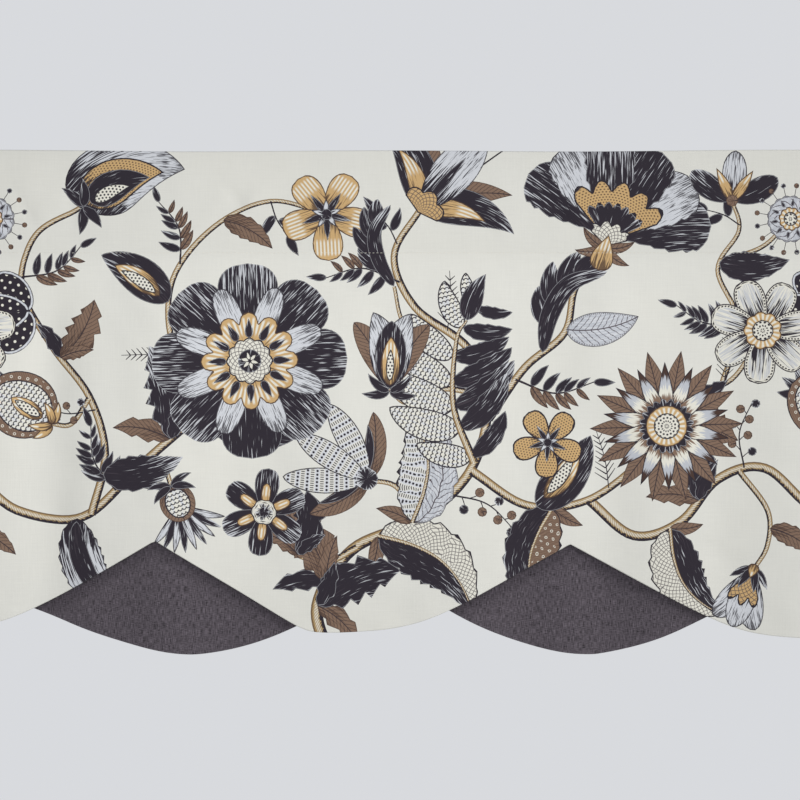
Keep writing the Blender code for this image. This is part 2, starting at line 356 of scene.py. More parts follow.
def insert_face(insert, x, z):
    """The y of the insert's front: on the panel's back, and lower down further back, with a slow ripple."""
    below = smooth_step((lower_edge(x) + HEM - z) / (SEAM_ALLOWANCE + HEM))
    ripple = np.sin(2 * np.pi * (x - insert.low_x) / INSERT_RIPPLE_LENGTH)
    return face(x, z) + HEM_DEPTH + INSERT_GAP + (INSERT_SET_BACK + INSERT_RIPPLE * ripple) * below


def insert_surface(insert):
    """The insert's front as a function of u across and v up, with a column of places at the peak."""

    def surface(u, v):
        """x, y, z: v runs straight up from the lower edge to the upper one."""
        start, end = insert_ends(insert)
        x = np.interp(u, (0.0, 0.5, 1.0), (start, insert.peak.x, end))
        low = insert_edge(insert, x)
        z = low + (insert_top(insert, x) - low) * v
        return x, insert_face(insert, x, z), z

    return surface


def insert_depth(u, v):
    """One layer of cloth, and a little more where the lower edge is turned."""
    return INSERT_DEPTH + INSERT_HEM * (1.0 - smooth_step((v - 0.05) / 0.03)) * np.ones_like(u)


# The print: trailing stems with flowers, fruit and leaves, drawn flat over one repeat. Places are complex
# numbers, x + 1j * z. A motif is drawn one unit tall on the origin, growing up, and the pen sizes and turns
# it.

REPEAT = 0.686
COPIES = range(-2, 2)
PRINT_SEED = 5
FLOW_STEPS = 12
LEAF, PETAL, SPOON, DROP, LANCE = (0.62, 1.05), (0.8, 0.42), (1.35, 0.46), (0.5, 1.15), (1.0, 1.1)
Patch = namedtuple("Patch", "ink outline rib half centre tone")


def width_profile(s, shape):
    """A blade's width along it, up to 1: a power of the way from the base times a power of the way left."""
    rise, fall = shape
    peak = rise / (rise + fall)
    return (s / peak) ** rise * ((1 - s) / (1 - peak)) ** fall


def sideways(rib):
    """The way square to a rib, to its left, at each of its places."""
    run = np.gradient(rib)
    return 1j * run / abs(run)


class Pen:
    """Draws the print's shapes as patches of ink, each where the pen has been set."""

    def __init__(self, rng):
        self.patches, self.rng = [], rng
        self.set(0, 0, 0, 1)

    def set(self, x, z, turn, size, flip=False):
        """Moves the pen: a motif drawn next stands at x, z, turned anticlockwise by degrees."""
        self.origin, self.factor, self.flip = complex(x, z), size * np.exp(1j * np.radians(turn)), flip

    def out(self, places):
        """Places of the motif where they come to lie in the print."""
        places = np.asarray(places, complex)
        return self.origin + self.factor * (-np.conj(places) if self.flip else places)

    def leave(self, ink, outline, rib=None, half=None, centre=None):
        """Keeps a patch of ink, with a random tone of its own."""
        rib, centre = (None if places is None else self.out(places) for places in (rib, centre))
        self.patches.append(Patch(ink, self.out(outline), rib, half, centre, self.rng.random()))

    def blade(self, ink, length, width, heading=0, base=0j, bend=0, shape=LEAF, teeth=0, bite=0.0, steps=0):
        """A leaf or petal: its rib is an arc that turns by bend degrees, and its width follows width_profile.
        Teeth cut the width back by the share bite and let it grow again."""
        size = abs(self.factor) * length
        steps = steps or (4 * teeth if teeth else int(np.clip(6 + size * 170, 7, 18)))
        s = np.linspace(0, 1, steps + 1)
        if not teeth:
            s = 0.35 * s + 0.65 * (0.5 - 0.5 * np.cos(np.pi * s))
        bend, heading = np.radians(bend) + 1e-6, np.radians(heading + 90)
        rib = base + length * np.exp(1j * (heading - bend / 2)) * (np.exp(1j * bend * s) - 1) / (1j * bend)
        normal = 1j * np.exp(1j * (heading + bend * (s - 0.5)))
        half = width / 2 * width_profile(s, shape)
        if teeth:
            half = half * (1 - bite * ((s * teeth) % 1.0))
        self.ribbon(ink, rib, normal, half)

    def ribbon(self, ink, rib, normal, half):
        """A shape that lies to both sides of a rib, half wide."""
        left, right = rib + normal * half, rib - normal * half
        sharp_base, sharp_tip = half[0] < 1e-7, half[-1] < 1e-7
        outline = np.concatenate([left, right[len(right) - 1 - sharp_tip : 0 if sharp_base else None : -1]])
        self.leave(ink, outline, rib=rib, half=half * abs(self.factor))

    def fan(self, ink, centre, radius, heading=0.0, spread=360.0, lobes=0, depth=0.0, power=1.0, steps=0):
        """A disc or a part of one. Lobes scallop its rim: the radius dips by the share depth between them."""
        steps = steps or (6 * lobes if lobes else 20)
        turn = np.linspace(-0.5, 0.5, steps + 1)
        dip_between = 1 - np.abs(np.sin(np.pi * lobes * (turn + 0.5))) ** power if lobes else 0 * turn
        spoke = np.exp(1j * (np.radians(heading + 90) + np.radians(spread) * turn))
        rim = centre + radius * (1 - depth * dip_between) * spoke
        outline = rim[:-1] if spread == 360 else np.concatenate([[centre], rim])
        self.leave(ink, outline, centre=centre)

    def stem(self, ink, points, wide, narrow, steps=9):
        """A stem through the points, from wide to narrow."""
        rib = flow(np.array(points, complex), steps)
        half = (wide + (narrow - wide) * np.linspace(0, 1, len(rib))) / 2
        self.ribbon(ink, rib, sideways(rib), half)


def flow(knots, steps):
    """A smooth curve through the knots: a cubic between each pair, which passes a knot at half the step from
    the one before it to the one after it."""
    ends = np.concatenate([[2 * knots[0] - knots[1]], knots, [2 * knots[-1] - knots[-2]]])
    s = np.arange(steps)[:, None] / steps
    a, b, c, d = ends[:-3], ends[1:-2], ends[2:-1], ends[3:]
    curve = 0.5 * (2 * b + (c - a) * s + (2 * a - 5 * b + 4 * c - d) * s**2 + (3 * b - a - 3 * c + d) * s**3)
    return np.append(curve.T.ravel(), knots[-1])


def ring(pen, ink, count, start, length, width, shape=PETAL, offset=0.0, **more):
    """Petals evenly round the middle, the first one turned by start degrees, each offset from the middle."""
    for k in range(count):
        turn = start + 360 * k / count
        base = offset * np.exp(1j * np.radians(turn + 90))
        pen.blade(ink, length, width, turn, base, shape=shape, **more)


def pairs(pen, ink, turns, length, width, bend, base=0j, **more):
    """Two mirrored blades out of one base for each of the turns."""
    for turn in turns:
        for side in (1, -1):
            pen.blade(ink, length, width, side * turn, base, bend=side * bend, **more)


def great_bloom(pen):
    """A large open flower: eight dark and eight pale petals round a gold wheel."""
    ring(pen, "night", 8, 0, 1.00, 0.62, SPOON)
    ring(pen, "frost", 8, 22.5, 0.80, 0.26, PETAL)
    pen.fan("honey", 0j, 0.50, lobes=12, depth=0.22, power=0.6)
    ring(pen, "night", 12, 15, 0.20, 0.085, DROP, offset=0.235)
    pen.fan("lattice", 0j, 0.24, lobes=12, depth=0.10)
    pen.fan("night", 0j, 0.12)
    ring(pen, "cream", 6, 0, 0.09, 0.05, DROP, offset=0.01, steps=5)


def fringed_pink(pen):
    """A flower seen from the side: fringed petals fanned out over a scalloped cup."""
    for k, turn in enumerate((-66, 66, -42, 42, -15, 15)):
        ink = "frost" if k // 2 % 2 else "night"
        pen.blade(ink, 1.0, 0.52, turn, 0.05j, bend=turn * 0.25, shape=SPOON, teeth=7, bite=0.14)
    pen.fan("spotted", 0.02j, 0.62, spread=108, lobes=5, depth=0.18)
    pen.fan("night", 0.02j, 0.40, spread=96, lobes=7, depth=0.12)
    pen.fan("lattice", -0.02j, 0.26, spread=120, lobes=4, depth=0.2)
    pairs(pen, "bark", (110, 62), 0.30, 0.10, -50, -0.03j)
    pen.blade("honey", 0.36, 0.22, 0, -0.26j, shape=DROP)


def aster(pen):
    """A daisy of many narrow petals in two rows."""
    ring(pen, "bark", 14, 0, 1.0, 0.27, LANCE)
    ring(pen, "banded", 14, 12.8, 0.84, 0.21, LEAF)
    pen.fan("night", 0j, 0.36, lobes=20, depth=0.14)
    pen.fan("honey", 0j, 0.27)
    pen.fan("pips", 0j, 0.17)


def acanthus(pen):
    """A great leaf: scaled lobes on one side of its rib, black ones on the other."""
    knots = [0, 0.10 + 0.34j, 0.06 + 0.72j, -0.16 + 1.02j]
    rib = flow(np.array(knots), 8)
    for k in range(6, -1, -1):
        step = int((0.08 + 0.135 * k) * (len(rib) - 1))
        turn = np.degrees(np.angle(rib[step + 1] - rib[step])) - 90
        size = (0.34, 0.44, 0.46, 0.42, 0.36, 0.30, 0.22)[k]
        pen.blade("scales", size, 0.42 * size, turn - 54, rib[step], bend=40, shape=(0.5, 0.7))
        dark = dict(bend=-44, shape=(0.6, 0.8), teeth=4, bite=0.16)
        pen.blade("night", size, 0.36 * size, turn + 60, rib[step], **dark)
    pen.blade("night", 0.30, 0.13, 26, rib[-6], bend=30)
    pen.stem("stem", [*knots[:3], rib[-6]], 0.05, 0.012)


def curled_drop(pen):
    """A drop-shaped bud that curls to one side, one drop inside the other."""
    pen.blade("frost", 1.08, 0.66, bend=-74, shape=(0.46, 0.95), steps=22)
    pen.blade("spotted", 0.80, 0.42, 3, 0.06j, bend=-62, shape=(0.5, 1.0), steps=16)
    pen.blade("night", 0.60, 0.29, 4, 0.11j, bend=-52, shape=(0.5, 1.0), steps=12)
    pen.blade("pips", 0.36, 0.13, 4, 0.15j, bend=-40, shape=(0.5, 1.0))
    pairs(pen, "night", (118, 70), 0.26, 0.10, 30, 0.03j)


def lily(pen):
    """A half-open lily with two stamens."""
    pairs(pen, "bark", (40,), 0.86, 0.27, 40)
    for turn in (-13, 13):
        tip = 1.02 * np.exp(1j * np.radians(90 + turn))
        pen.stem("line", [0, 0.5 * tip, tip], 0.02, 0.012)
        pen.fan("night", tip, 0.035, steps=8)
    pairs(pen, "night", (64,), 0.92, 0.34, 64)
    pairs(pen, "honey", (60,), 0.62, 0.17, 50)
    pen.blade("frost", 0.92, 0.38, shape=(0.8, 0.7))
    pen.blade("night", 0.52, 0.08, 0, 0.12j)
    pen.fan("lattice", -0.03j, 0.24, spread=150, lobes=3, depth=0.2)


def pomegranate(pen):
    """A round fruit cut open, with a crown at its top and leaves at its foot."""
    for turn in (-30, 30, 0):
        pen.blade("night", 0.42, 0.17, turn, 0.72j, bend=-turn * 0.8)
    pen.blade("ringed", 1.0, 0.92, 0, -0.02j, shape=(0.5, 0.55), steps=16)
    pen.blade("scales", 0.84, 0.68, 0, 0.04j, shape=(0.5, 0.6), steps=14)
    pen.blade("honey", 0.50, 0.24, 0, 0.14j, shape=(0.6, 0.7))
    pen.blade("pips", 0.40, 0.14, 0, 0.18j, shape=(0.6, 0.7))
    pairs(pen, "honey", (70, 35), 0.34, 0.13, -40, -0.02j)


def bellflower(pen):
    """A hanging bell of three petals with a netted cup."""
    for turn in (-22, 22, 0):
        pen.blade("frost", 1.0, 0.44, turn, bend=turn * 1.5, shape=(0.7, 0.55))
    pen.fan("lattice", 0j, 0.62, spread=62, lobes=3, depth=0.24)
    pairs(pen, "night", (50, 18), 0.42, 0.14, -20, -0.05j)
    pen.blade("honey", 0.26, 0.18, 0, -0.12j, shape=DROP)


def star_flower(pen, petals="honey"):
    """Five broad petals, each with a dark stroke."""
    ring(pen, petals, 5, 0, 1.0, 0.66, PETAL)
    ring(pen, "night", 5, 0, 0.56, 0.15, LEAF)
    ring(pen, "frost", 5, 36, 0.34, 0.14, LEAF)
    pen.fan("night", 0j, 0.13, steps=8)


def dark_star(pen):
    """Six dark petals with gold ones on them."""
    ring(pen, "night", 6, 0, 1.0, 0.56, PETAL)
    ring(pen, "honey", 6, 0, 0.66, 0.22, PETAL)
    pen.fan("dashed", 0j, 0.30, lobes=6, depth=0.1)
    pen.fan("night", 0j, 0.13, steps=8)


def daisy(pen):
    """Seven white petals round a gold wheel."""
    ring(pen, "dashed", 7, 0, 1.0, 0.58, PETAL)
    pen.fan("honey", 0j, 0.36, lobes=9, depth=0.12)
    pen.fan("pips", 0j, 0.20, steps=10)


def trefoil(pen):
    """A small bloom of two dark petals and a pale one."""
    for turn, ink in ((-58, "night"), (58, "night"), (0, "frost")):
        pen.blade(ink, 1.0, 0.48, turn, bend=-turn * 0.4, shape=(0.8, 0.6))
    pairs(pen, "honey", (30,), 0.72, 0.22, 0)
    pen.fan("bark", 0j, 0.12, steps=8)


def thistle(pen):
    """A tuft of narrow petals out of a scaled head."""
    for k, turn in enumerate((-56, 56, -42, 42, -28, 28, -14, 14, 0)):
        ink = "frost" if k % 4 < 2 else "night"
        pen.blade(ink, 0.74, 0.13, turn, 0.30j, bend=turn * 0.3, shape=(0.7, 0.8))
    pen.blade("bark", 0.60, 0.56, 0, -0.06j, shape=(0.45, 0.5), steps=14)
    pen.blade("scales", 0.48, 0.40, 0, 0.0j, shape=(0.45, 0.5), steps=12)
    pairs(pen, "night", (104, 66), 0.40, 0.13, -46, -0.04j)


def tulip(pen):
    """A closed tulip, its petals one inside the other."""
    pairs(pen, "bark", (30,), 0.96, 0.34, 26, shape=(0.8, 0.7))
    pairs(pen, "frost", (14,), 1.0, 0.44, 30, shape=(0.6, 0.8))
    pen.blade("night", 0.86, 0.40, shape=(0.7, 0.7))
    pen.blade("honey", 0.62, 0.24, 0, 0.04j, shape=(0.6, 0.8))
    pen.blade("pips", 0.40, 0.11, 0, 0.10j, shape=(0.6, 0.8))
    pairs(pen, "night", (96, 52), 0.36, 0.12, -44, -0.03j)


def seed_head(pen):
    """A disc with beads on stalks all round it."""
    for k in range(16):
        tip = 0.94 * np.exp(2j * np.pi * (k + 0.5) / 16)
        pen.stem("line", [0.5 * tip, 0.75 * tip, tip], 0.022, 0.014, steps=1)
        pen.fan("bark" if k % 2 else "night", tip, 0.075, steps=8)
    pen.fan("mist", 0j, 0.66, lobes=16, depth=0.06)
    ring(pen, "night", 10, 0, 0.22, 0.10, DROP, offset=0.36, steps=6)
    pen.fan("honey", 0j, 0.34, lobes=10, depth=0.12)
    pen.fan("pips", 0j, 0.20, steps=12)


def split_leaf(pen, tips=("night", "lattice")):
    """A broad leaf, one half dark and the other netted, and three small leaves at its foot."""
    pairs(pen, "bark", (62,), 0.34, 0.13, 30)
    s = np.linspace(0, 1, 33)
    rib = 1j * s + 0.20 * np.sin(np.pi * s * 0.9)
    normal = sideways(rib)
    half = 0.27 * width_profile(s, (0.55, 0.9)) * (1 - 0.16 * ((s * 8) % 1.0))
    for side, ink in ((1, tips[0]), (-1, tips[1])):
        pen.ribbon(ink, rib + side * normal * half / 2, normal, half / 2)
    pen.stem("stem", list(rib[::8]), 0.040, 0.010, steps=5)


def knotted_leaves(pen):
    """Three long banded leaves fanned out over two brown ones."""
    for turn in (-62, 62):
        pen.blade("bark", 0.80, 0.26, turn, bend=-turn * 0.5, shape=(0.7, 0.8))
        pen.blade("night", 0.62, 0.11, turn, 0.06j, bend=-turn * 0.5, shape=(0.7, 0.8))
    for turn in (-30, 30, 0):
        pen.blade("knotted", 1.0, 0.30, turn, bend=-turn * 0.4, shape=(0.8, 0.7))
    pen.fan("night", 0.02j, 0.13, steps=10)


def studded_leaf(pen):
    """A black leaf with cream studs and a pale border, between two smaller ones."""
    for turn, size, wide in ((-50, 0.72, 0.44), (50, 0.72, 0.44), (0, 1.0, 0.58)):
        pen.blade("studded", size, wide, turn, bend=-turn * 0.5, shape=(0.6, 0.55), steps=16)
    pen.stem("line", [0, 0.4j, 0.74j], 0.03, 0.014, steps=4)


def flame(pen):
    """A black leaf that bends over, its outer side cut into long points."""
    rib = flow(np.array([0, 0.02 + 0.40j, 0.18 + 0.74j, 0.54 + 0.92j]), 8)
    for share, size in ((0.34, 0.40), (0.52, 0.46), (0.70, 0.44), (0.86, 0.34)):
        step = int(share * (len(rib) - 1))
        turn = np.degrees(np.angle(rib[step + 1] - rib[step])) - 90
        pen.blade("night", size, 0.22, turn + 34, rib[step - 2], bend=-30, shape=(0.5, 0.8))
    half = 0.10 * width_profile(np.linspace(0, 1, len(rib)), (0.5, 0.6))
    pen.ribbon("night", rib, sideways(rib), half)


def spray(pen, count=5, inks=("night", "bark"), leaf=0.34, curve=0.16):
    """A thin twig with leaves in pairs."""
    knots = [0, curve + 0.5j, 1j]
    rib = flow(np.array(knots), 10)
    pen.stem("line", knots, 0.028, 0.012)
    for k in range(count):
        at = rib[int((0.22 + 0.70 * k / count) * (len(rib) - 1))]
        size = leaf * (1 - 0.09 * k)
        pen.blade(inks[0], size, 0.36 * size, 52 - 3 * k, at, bend=-20)
        pen.blade(inks[1], size, 0.36 * size, -52 + 3 * k, at, bend=20)
    pen.blade(inks[0], leaf * 0.8, 0.3 * leaf, 0, rib[-2])


def berries(pen):
    """A thin twig with berries on short stalks to either side."""
    knots = [0, -0.10 + 0.5j, 0.06 + 1j]
    rib = flow(np.array(knots), 10)
    pen.stem("line", knots, 0.025, 0.012)
    for k in range(7):
        at = rib[int((0.16 + 0.13 * k) * (len(rib) - 1))]
        out = at + (0.17 - 0.012 * k) * np.exp(1j * np.radians(90 + (55 if k % 2 else -55)))
        pen.stem("line", [at, 0.5 * (at + out) + 0.02j, out], 0.014, 0.010, steps=3)
        pen.fan("bark" if k % 3 else "night", out, 0.066, steps=9)


def fern(pen):
    """A straight stalk with thin bare side shoots."""
    pen.stem("line", [0, 0.04 + 0.5j, 1j], 0.018, 0.010)
    for k in range(8):
        at = 0.04 * (1 - abs(2 * k / 8 - 1)) + 1j * (0.14 + 0.10 * k)
        for side in (1, -1):
            out = at + (0.24 - 0.018 * k) * np.exp(1j * np.radians(90 + side * 46))
            pen.stem("line", [at, 0.5 * (at + out), out], 0.022, 0.010, steps=2)


def plume(pen):
    """A pale feather, toothed at its edge, over a dark rib."""
    pen.blade("frost", 1.0, 0.46, bend=58, shape=(0.6, 0.8), teeth=9, bite=0.13)
    pen.blade("night", 0.94, 0.20, 3, 0.02 + 0.02j, bend=64, shape=(0.6, 0.8))


def leaf(pen):
    """A dark toothed leaf."""
    pen.blade("night", 1.0, 0.44, bend=34, shape=(0.6, 1.0), teeth=6, bite=0.14)


def lobed_leaf(pen, ink="night", side="bark"):
    """A leaf cut into forward-pointing lobes, with a smaller one turned the other way at its foot."""
    pen.blade(side, 0.62, 0.26, 58, bend=40, shape=(0.6, 0.9), teeth=3, bite=0.42)
    pen.blade(ink, 1.0, 0.52, -8, bend=44, shape=(0.7, 0.85), teeth=5, bite=0.46)
    pen.blade(ink, 0.52, 0.22, -54, bend=-30, shape=(0.6, 0.9), teeth=3, bite=0.4)


def eyed_leaf(pen):
    """A dark pointed leaf with a dotted eye in it."""
    pen.blade("night", 1.0, 0.46, bend=28, shape=(0.6, 0.85))
    pen.blade("honey", 0.66, 0.24, 1, 0.13j, bend=22, shape=(0.7, 0.85))
    pen.blade("pips", 0.50, 0.14, 2, 0.19j, bend=18, shape=(0.7, 0.85))


def twig(pen):
    """Three small dark leaves on a short stalk."""
    pen.stem("line", [0, 0.06 + 0.4j, 0.8j], 0.03, 0.02, steps=4)
    pen.blade("night", 0.5, 0.2, 48, 0.05 + 0.42j, bend=-20)
    pen.blade("night", 0.52, 0.2, -56, 0.06 + 0.3j, bend=24)
    pen.blade("night", 0.46, 0.19, 0, 0.75j, bend=16)


def brown_leaf(pen):
    """A brown toothed leaf."""
    pen.blade("bark", 1.0, 0.42, bend=-38, shape=(0.6, 1.0), teeth=5, bite=0.2)


def mist_leaf(pen):
    """A smooth veined leaf."""
    pen.blade("mist", 1.0, 0.46, bend=36, shape=(0.6, 0.9))


MOTIFS = {
    motif.__name__: motif
    for motif in (
        great_bloom, fringed_pink, aster, acanthus, curled_drop, lily, pomegranate, bellflower, star_flower,
        dark_star, daisy, trefoil, thistle, tulip, seed_head, split_leaf, knotted_leaves, studded_leaf, flame,
        spray, berries, fern, plume, leaf, lobed_leaf, eyed_leaf, twig, brown_leaf, mist_leaf,
    )
}
MOTIFS.update(
    spotted_star=partial(star_flower, petals="spotted"),
    pale_leaf=partial(split_leaf, tips=("knotted", "mist")),
    brown_split=partial(split_leaf, tips=("ringed", "night")),
    dark_spray=partial(spray, count=6, inks=("night", "night"), leaf=0.38, curve=-0.14),
    brown_lobed=partial(lobed_leaf, ink="bark", side="night"),
)

# The stems in one repeat: how wide each is at its start and its end, and the knots that it runs through, each
# x and z, in millimetres. A growth is a motif at a share of its stem's way, turned from the stem by degrees,
# so many millimetres tall.
Vine = namedtuple("Vine", "wide narrow knots")
Growth = namedtuple("Growth", "vine at motif turn size flip", defaults=(False,))

VINES = {
    "long": Vine(8.5, 7.5, (372, -302, 410, -332, 450, -320, 482, -284, 522, -274, 566, -310, 622, -316,
        672, -272, 724, -226, 766, -182)),
    "riser": Vine(7.5, 4.6, (-56, -314, -44, -262, -58, -212, -92, -168, -116, -118, -104, -74, -66, -50)),
    "trunk": Vine(11.0, 5.6, (150, -440, 138, -392, 168, -344, 224, -318, 268, -278, 284, -222, 268, -172,
        222, -136, 204, -92, 226, -52)),
    "pink": Vine(7.5, 5.4, (285, -232, 316, -188, 350, -158, 360, -118, 386, -82)),
    "low": Vine(5.8, 4.0, (172, -342, 146, -354, 114, -344, 92, -312)),
    "dot": Vine(4.4, 3.0, (344, -305, 352, -278, 336, -252)),
    "aster": Vine(8.0, 5.6, (270, -276, 318, -306, 370, -302, 412, -272, 438, -238)),
    "daisy": Vine(5.4, 3.6, (416, -268, 452, -216, 494, -198, 520, -156)),
    "crown": Vine(5.0, 3.4, (486, -202, 500, -150, 482, -104, 500, -70, 494, -44)),
    "loop": Vine(6.0, 3.6, (52, -218, 16, -172, 14, -112, 50, -66, 98, -44, 146, -56)),
    "fruit": Vine(5.0, 4.0, (-58, -214, -74, -236, -92, -236)),
    "end": Vine(5.0, 3.6, (500, -276, 524, -310, 524, -340, 512, -362)),
    "thistle": Vine(5.4, 4.0, (670, -274, 692, -274, 700, -292)),
    "tulip": Vine(5.4, 4.0, (282, -212, 246, -206, 216, -218, 200, -206)),
    "top": Vine(4.6, 3.4, (484, -96, 520, -84, 544, -60)),
    "knots": Vine(5.2, 4.0, (224, -318, 206, -290, 182, -284)),
    "gap": Vine(4.4, 3.2, (268, -172, 236, -178, 212, -150, 204, -118)),
}
GROWTHS = [Growth(*row) for row in (
    # sprays, then leaves
    ("trunk", 0.40, "berries", -70, 64), ("long", 0.40, "berries", 76, 58),
    ("riser", 0.30, "berries", 62, 54), ("loop", 0.18, "fern", 58, 50),
    ("aster", 0.62, "fern", 66, 52), ("low", 0.46, "fern", -70, 44),
    ("trunk", 0.72, "fern", -60, 52), ("daisy", 0.62, "fern", 60, 44),
    ("loop", 0.46, "spray", 52, 60), ("pink", 0.20, "spray", -54, 70),
    ("crown", 0.26, "dark_spray", 66, 58), ("trunk", 0.84, "spray", 66, 66),
    ("riser", 0.70, "spray", -58, 60), ("long", 0.74, "dark_spray", 64, 62),
    ("crown", 0.80, "twig", 60, 40), ("trunk", 0.92, "twig", 62, 42),
    ("aster", 0.80, "twig", 60, 44), ("loop", 0.80, "twig", -66, 44),
    ("end", 0.50, "brown_leaf", 64, 46), ("long", 0.66, "plume", -84, 88),
    ("long", 0.84, "lobed_leaf", 70, 84), ("long", 0.90, "eyed_leaf", -62, 84),
    ("trunk", 0.27, "split_leaf", -62, 104, True), ("trunk", 0.33, "pale_leaf", 66, 100),
    ("trunk", 0.16, "brown_lobed", 72, 78), ("trunk", 0.12, "lobed_leaf", -62, 80, True),
    ("aster", 0.36, "brown_split", -96, 92), ("aster", 0.30, "eyed_leaf", 58, 78),
    ("long", 0.28, "lobed_leaf", 64, 76), ("long", 0.20, "split_leaf", -84, 88),
    ("pink", 0.36, "flame", 46, 84), ("pink", 0.54, "mist_leaf", -58, 64),
    ("daisy", 0.40, "brown_lobed", -60, 58), ("loop", 0.34, "eyed_leaf", 60, 72),
    ("loop", 0.64, "brown_leaf", -64, 50), ("riser", 0.46, "brown_lobed", -62, 60),
    ("riser", 0.12, "leaf", -66, 72), ("riser", 0.60, "studded_leaf", 70, 60),
    ("crown", 0.56, "leaf", -64, 62), ("low", 0.60, "lobed_leaf", -62, 58),
    ("trunk", 0.47, "acanthus", 28, 146, True),
    # flowers and fruit
    ("fruit", 1.0, "pomegranate", -32, 62), ("riser", 1.0, "curled_drop", -10, 96),
    ("trunk", 1.0, "lily", -10, 96), ("pink", 1.0, "fringed_pink", 20, 90),
    ("aster", 1.0, "aster", 0, 66), ("daisy", 1.0, "daisy", 0, 46),
    ("crown", 1.0, "trefoil", -20, 44), ("dot", 1.0, "spotted_star", 0, 31),
    ("loop", 1.0, "star_flower", 0, 40), ("low", 1.0, "dark_star", 20, 38),
    ("gap", 1.0, "flame", 20, 66), ("knots", 1.0, "knotted_leaves", -20, 74),
    ("end", 1.0, "bellflower", 10, 52), ("thistle", 1.0, "thistle", 0, 54),
    ("tulip", 1.0, "tulip", -52, 68), ("top", 1.0, "seed_head", 0, 31),
    ("long", 1.0, "great_bloom", 0, 84),
)]


def knots_of(vine):
    """The vine's knots as places."""
    return np.reshape(vine.knots, (-1, 2)) @ (1, 1j) * MM


def draw_growth(pen, growth):
    """Draws a growth's motif where it leaves its vine, turned from the vine's own heading there."""
    rib = flow(knots_of(VINES[growth.vine]), FLOW_STEPS)
    step = min(int(growth.at * (len(rib) - 1)), len(rib) - 2)
    heading = np.degrees(np.angle(rib[step + 1] - rib[step])) - 90
    at = rib[-1] if growth.at == 1 else rib[step]
    pen.set(at.real, at.imag, heading + growth.turn, growth.size * MM, growth.flip)
    MOTIFS[growth.motif](pen)


def layout():
    """The whole print: one repeat, each vine and growth of it copied along the cloth in turn."""
    pen = Pen(np.random.default_rng(PRINT_SEED))
    ends = [0]
    for vine in VINES.values():
        pen.stem("stem", knots_of(vine), vine.wide * MM, vine.narrow * MM)
        ends.append(len(pen.patches))
    for growth in GROWTHS:
        draw_growth(pen, growth)
        ends.append(len(pen.patches))
    return [
        moved(patch, lambda place, k=k: place + k * REPEAT)
        for start, end in zip(ends[:-1], ends[1:])
        for k in COPIES
        for patch in pen.patches[start:end]
    ]


def moved(patch, move):
    """The patch with all its places moved."""
    parts = {name: getattr(patch, name) for name in ("outline", "rib", "centre")}
    return patch._replace(**{name: move(places) for name, places in parts.items() if places is not None})


def touches_panel(patch):
    """Whether any of the patch can lie on the panel or on its hems."""
    x, z = patch.outline.real, patch.outline.imag
    side, low = WIDTH / 2 + SIDE_HEM, min(LEVELS) - HEM
    return bool(x.max() > -side and x.min() < side and z.max() > low and z.min() < 0)


# The printed mesh: every shape of the print is cut into the cloth's front as its own faces

Print = namedtuple("Print", "places faces region")


class Cutting:
    """Gathers flat places (complex numbers, in metres), and the chains and closed loops of them that the
    triangles keep as edges. The first loop is the outline."""

    def __init__(self, outline):
        self.places, self.chains, self.loops, self.count = [], [], [], 0
        self.loop(outline)

    def add(self, places):
        """Takes in places and returns their numbers."""
        self.places.append(np.asarray(places, complex))
        self.count += len(places)
        return list(range(self.count - len(places), self.count))

    def chain(self, places):
        """A run of places, each joined to the next."""
        line = self.add(places)
        self.chains += list(zip(line[:-1], line[1:]))

    def loop(self, outline):
        """Loops run anticlockwise, or their outside would count as held."""
        clockwise = (outline.conj() * np.roll(outline, -1)).imag.sum() < 0
        self.loops.append(self.add(outline[::-1] if clockwise else outline))

    def cut(self):
        """The triangles inside the outline, each with the last loop that holds it. Worked out in
        millimetres, where places nearer to each other than NEAREST become one. Also tells for each place the
        first of the given ones that it came from."""
        flat = [Vector((place.real, place.imag)) for place in np.concatenate(self.places) * 1000]
        found = delaunay_2d_cdt(flat, self.chains, self.loops, 0, NEAREST, True)
        places, _, faces, came_from, _, held_by = found
        places = np.array([complex(*place) for place in places]) / 1000
        source = np.array([min(places_in, default=len(flat)) for places_in in came_from])
        last = np.array([max(held) if 0 in held else -1 for held in held_by])
        faces = np.array(faces)[last >= 0]
        used, numbers = np.unique(faces, return_inverse=True)
        return Print(places[used], numbers.reshape(-1, 3), last[last >= 0]), source[used]


def grid_places(step, margin):
    """Rows of places over the panel, every other row half a step along, clear of its edge by the margin."""
    rows = np.arange(-margin, min(LEVELS) - HEM, -step)
    columns = np.arange(-WIDTH / 2 + margin, WIDTH / 2 - margin, step)
    x, z = np.meshgrid(columns, rows)
    x = x + 0.5 * step * (np.arange(len(rows))[:, None] % 2)
    inside = (z > lower_edge(x) + margin) & (x < WIDTH / 2 - margin)
    return x[inside] + 1j * z[inside]


def crease_places(crease):
    """Rows of places on a crease's line and to both sides of it, close enough for its bend to show."""
    start, end = complex(crease.x_start, crease.z_start), complex(crease.x_end, crease.z_end)
    way = np.linspace(0, 1, int(abs(end - start) / CREASE_STEP))[:, None]
    side = 1j * (end - start) / abs(end - start) * crease.half
    return (start + way * (end - start) + side * np.linspace(-CREASE_REACH, CREASE_REACH, 5)).ravel()


def panel_outline():
    """The panel's outline as one closed loop: along the lower edge, then up, back along the top and down."""
    across = np.linspace(-WIDTH / 2, WIDTH / 2, int(WIDTH / OUTLINE_STEP) // 2 * 2 + 1)
    low = np.sort(np.concatenate([across, [peak.x for peak in PEAKS if peak.x]]))
    right = np.linspace(lower_edge(low)[-1], 0.0, 60)[1:-1]
    left = np.linspace(0.0, lower_edge(low)[0], 60)[1:-1]
    return np.concatenate(
        [low + 1j * lower_edge(low), WIDTH / 2 + 1j * right, across[::-1] + 0j, -WIDTH / 2 + 1j * left]
    )


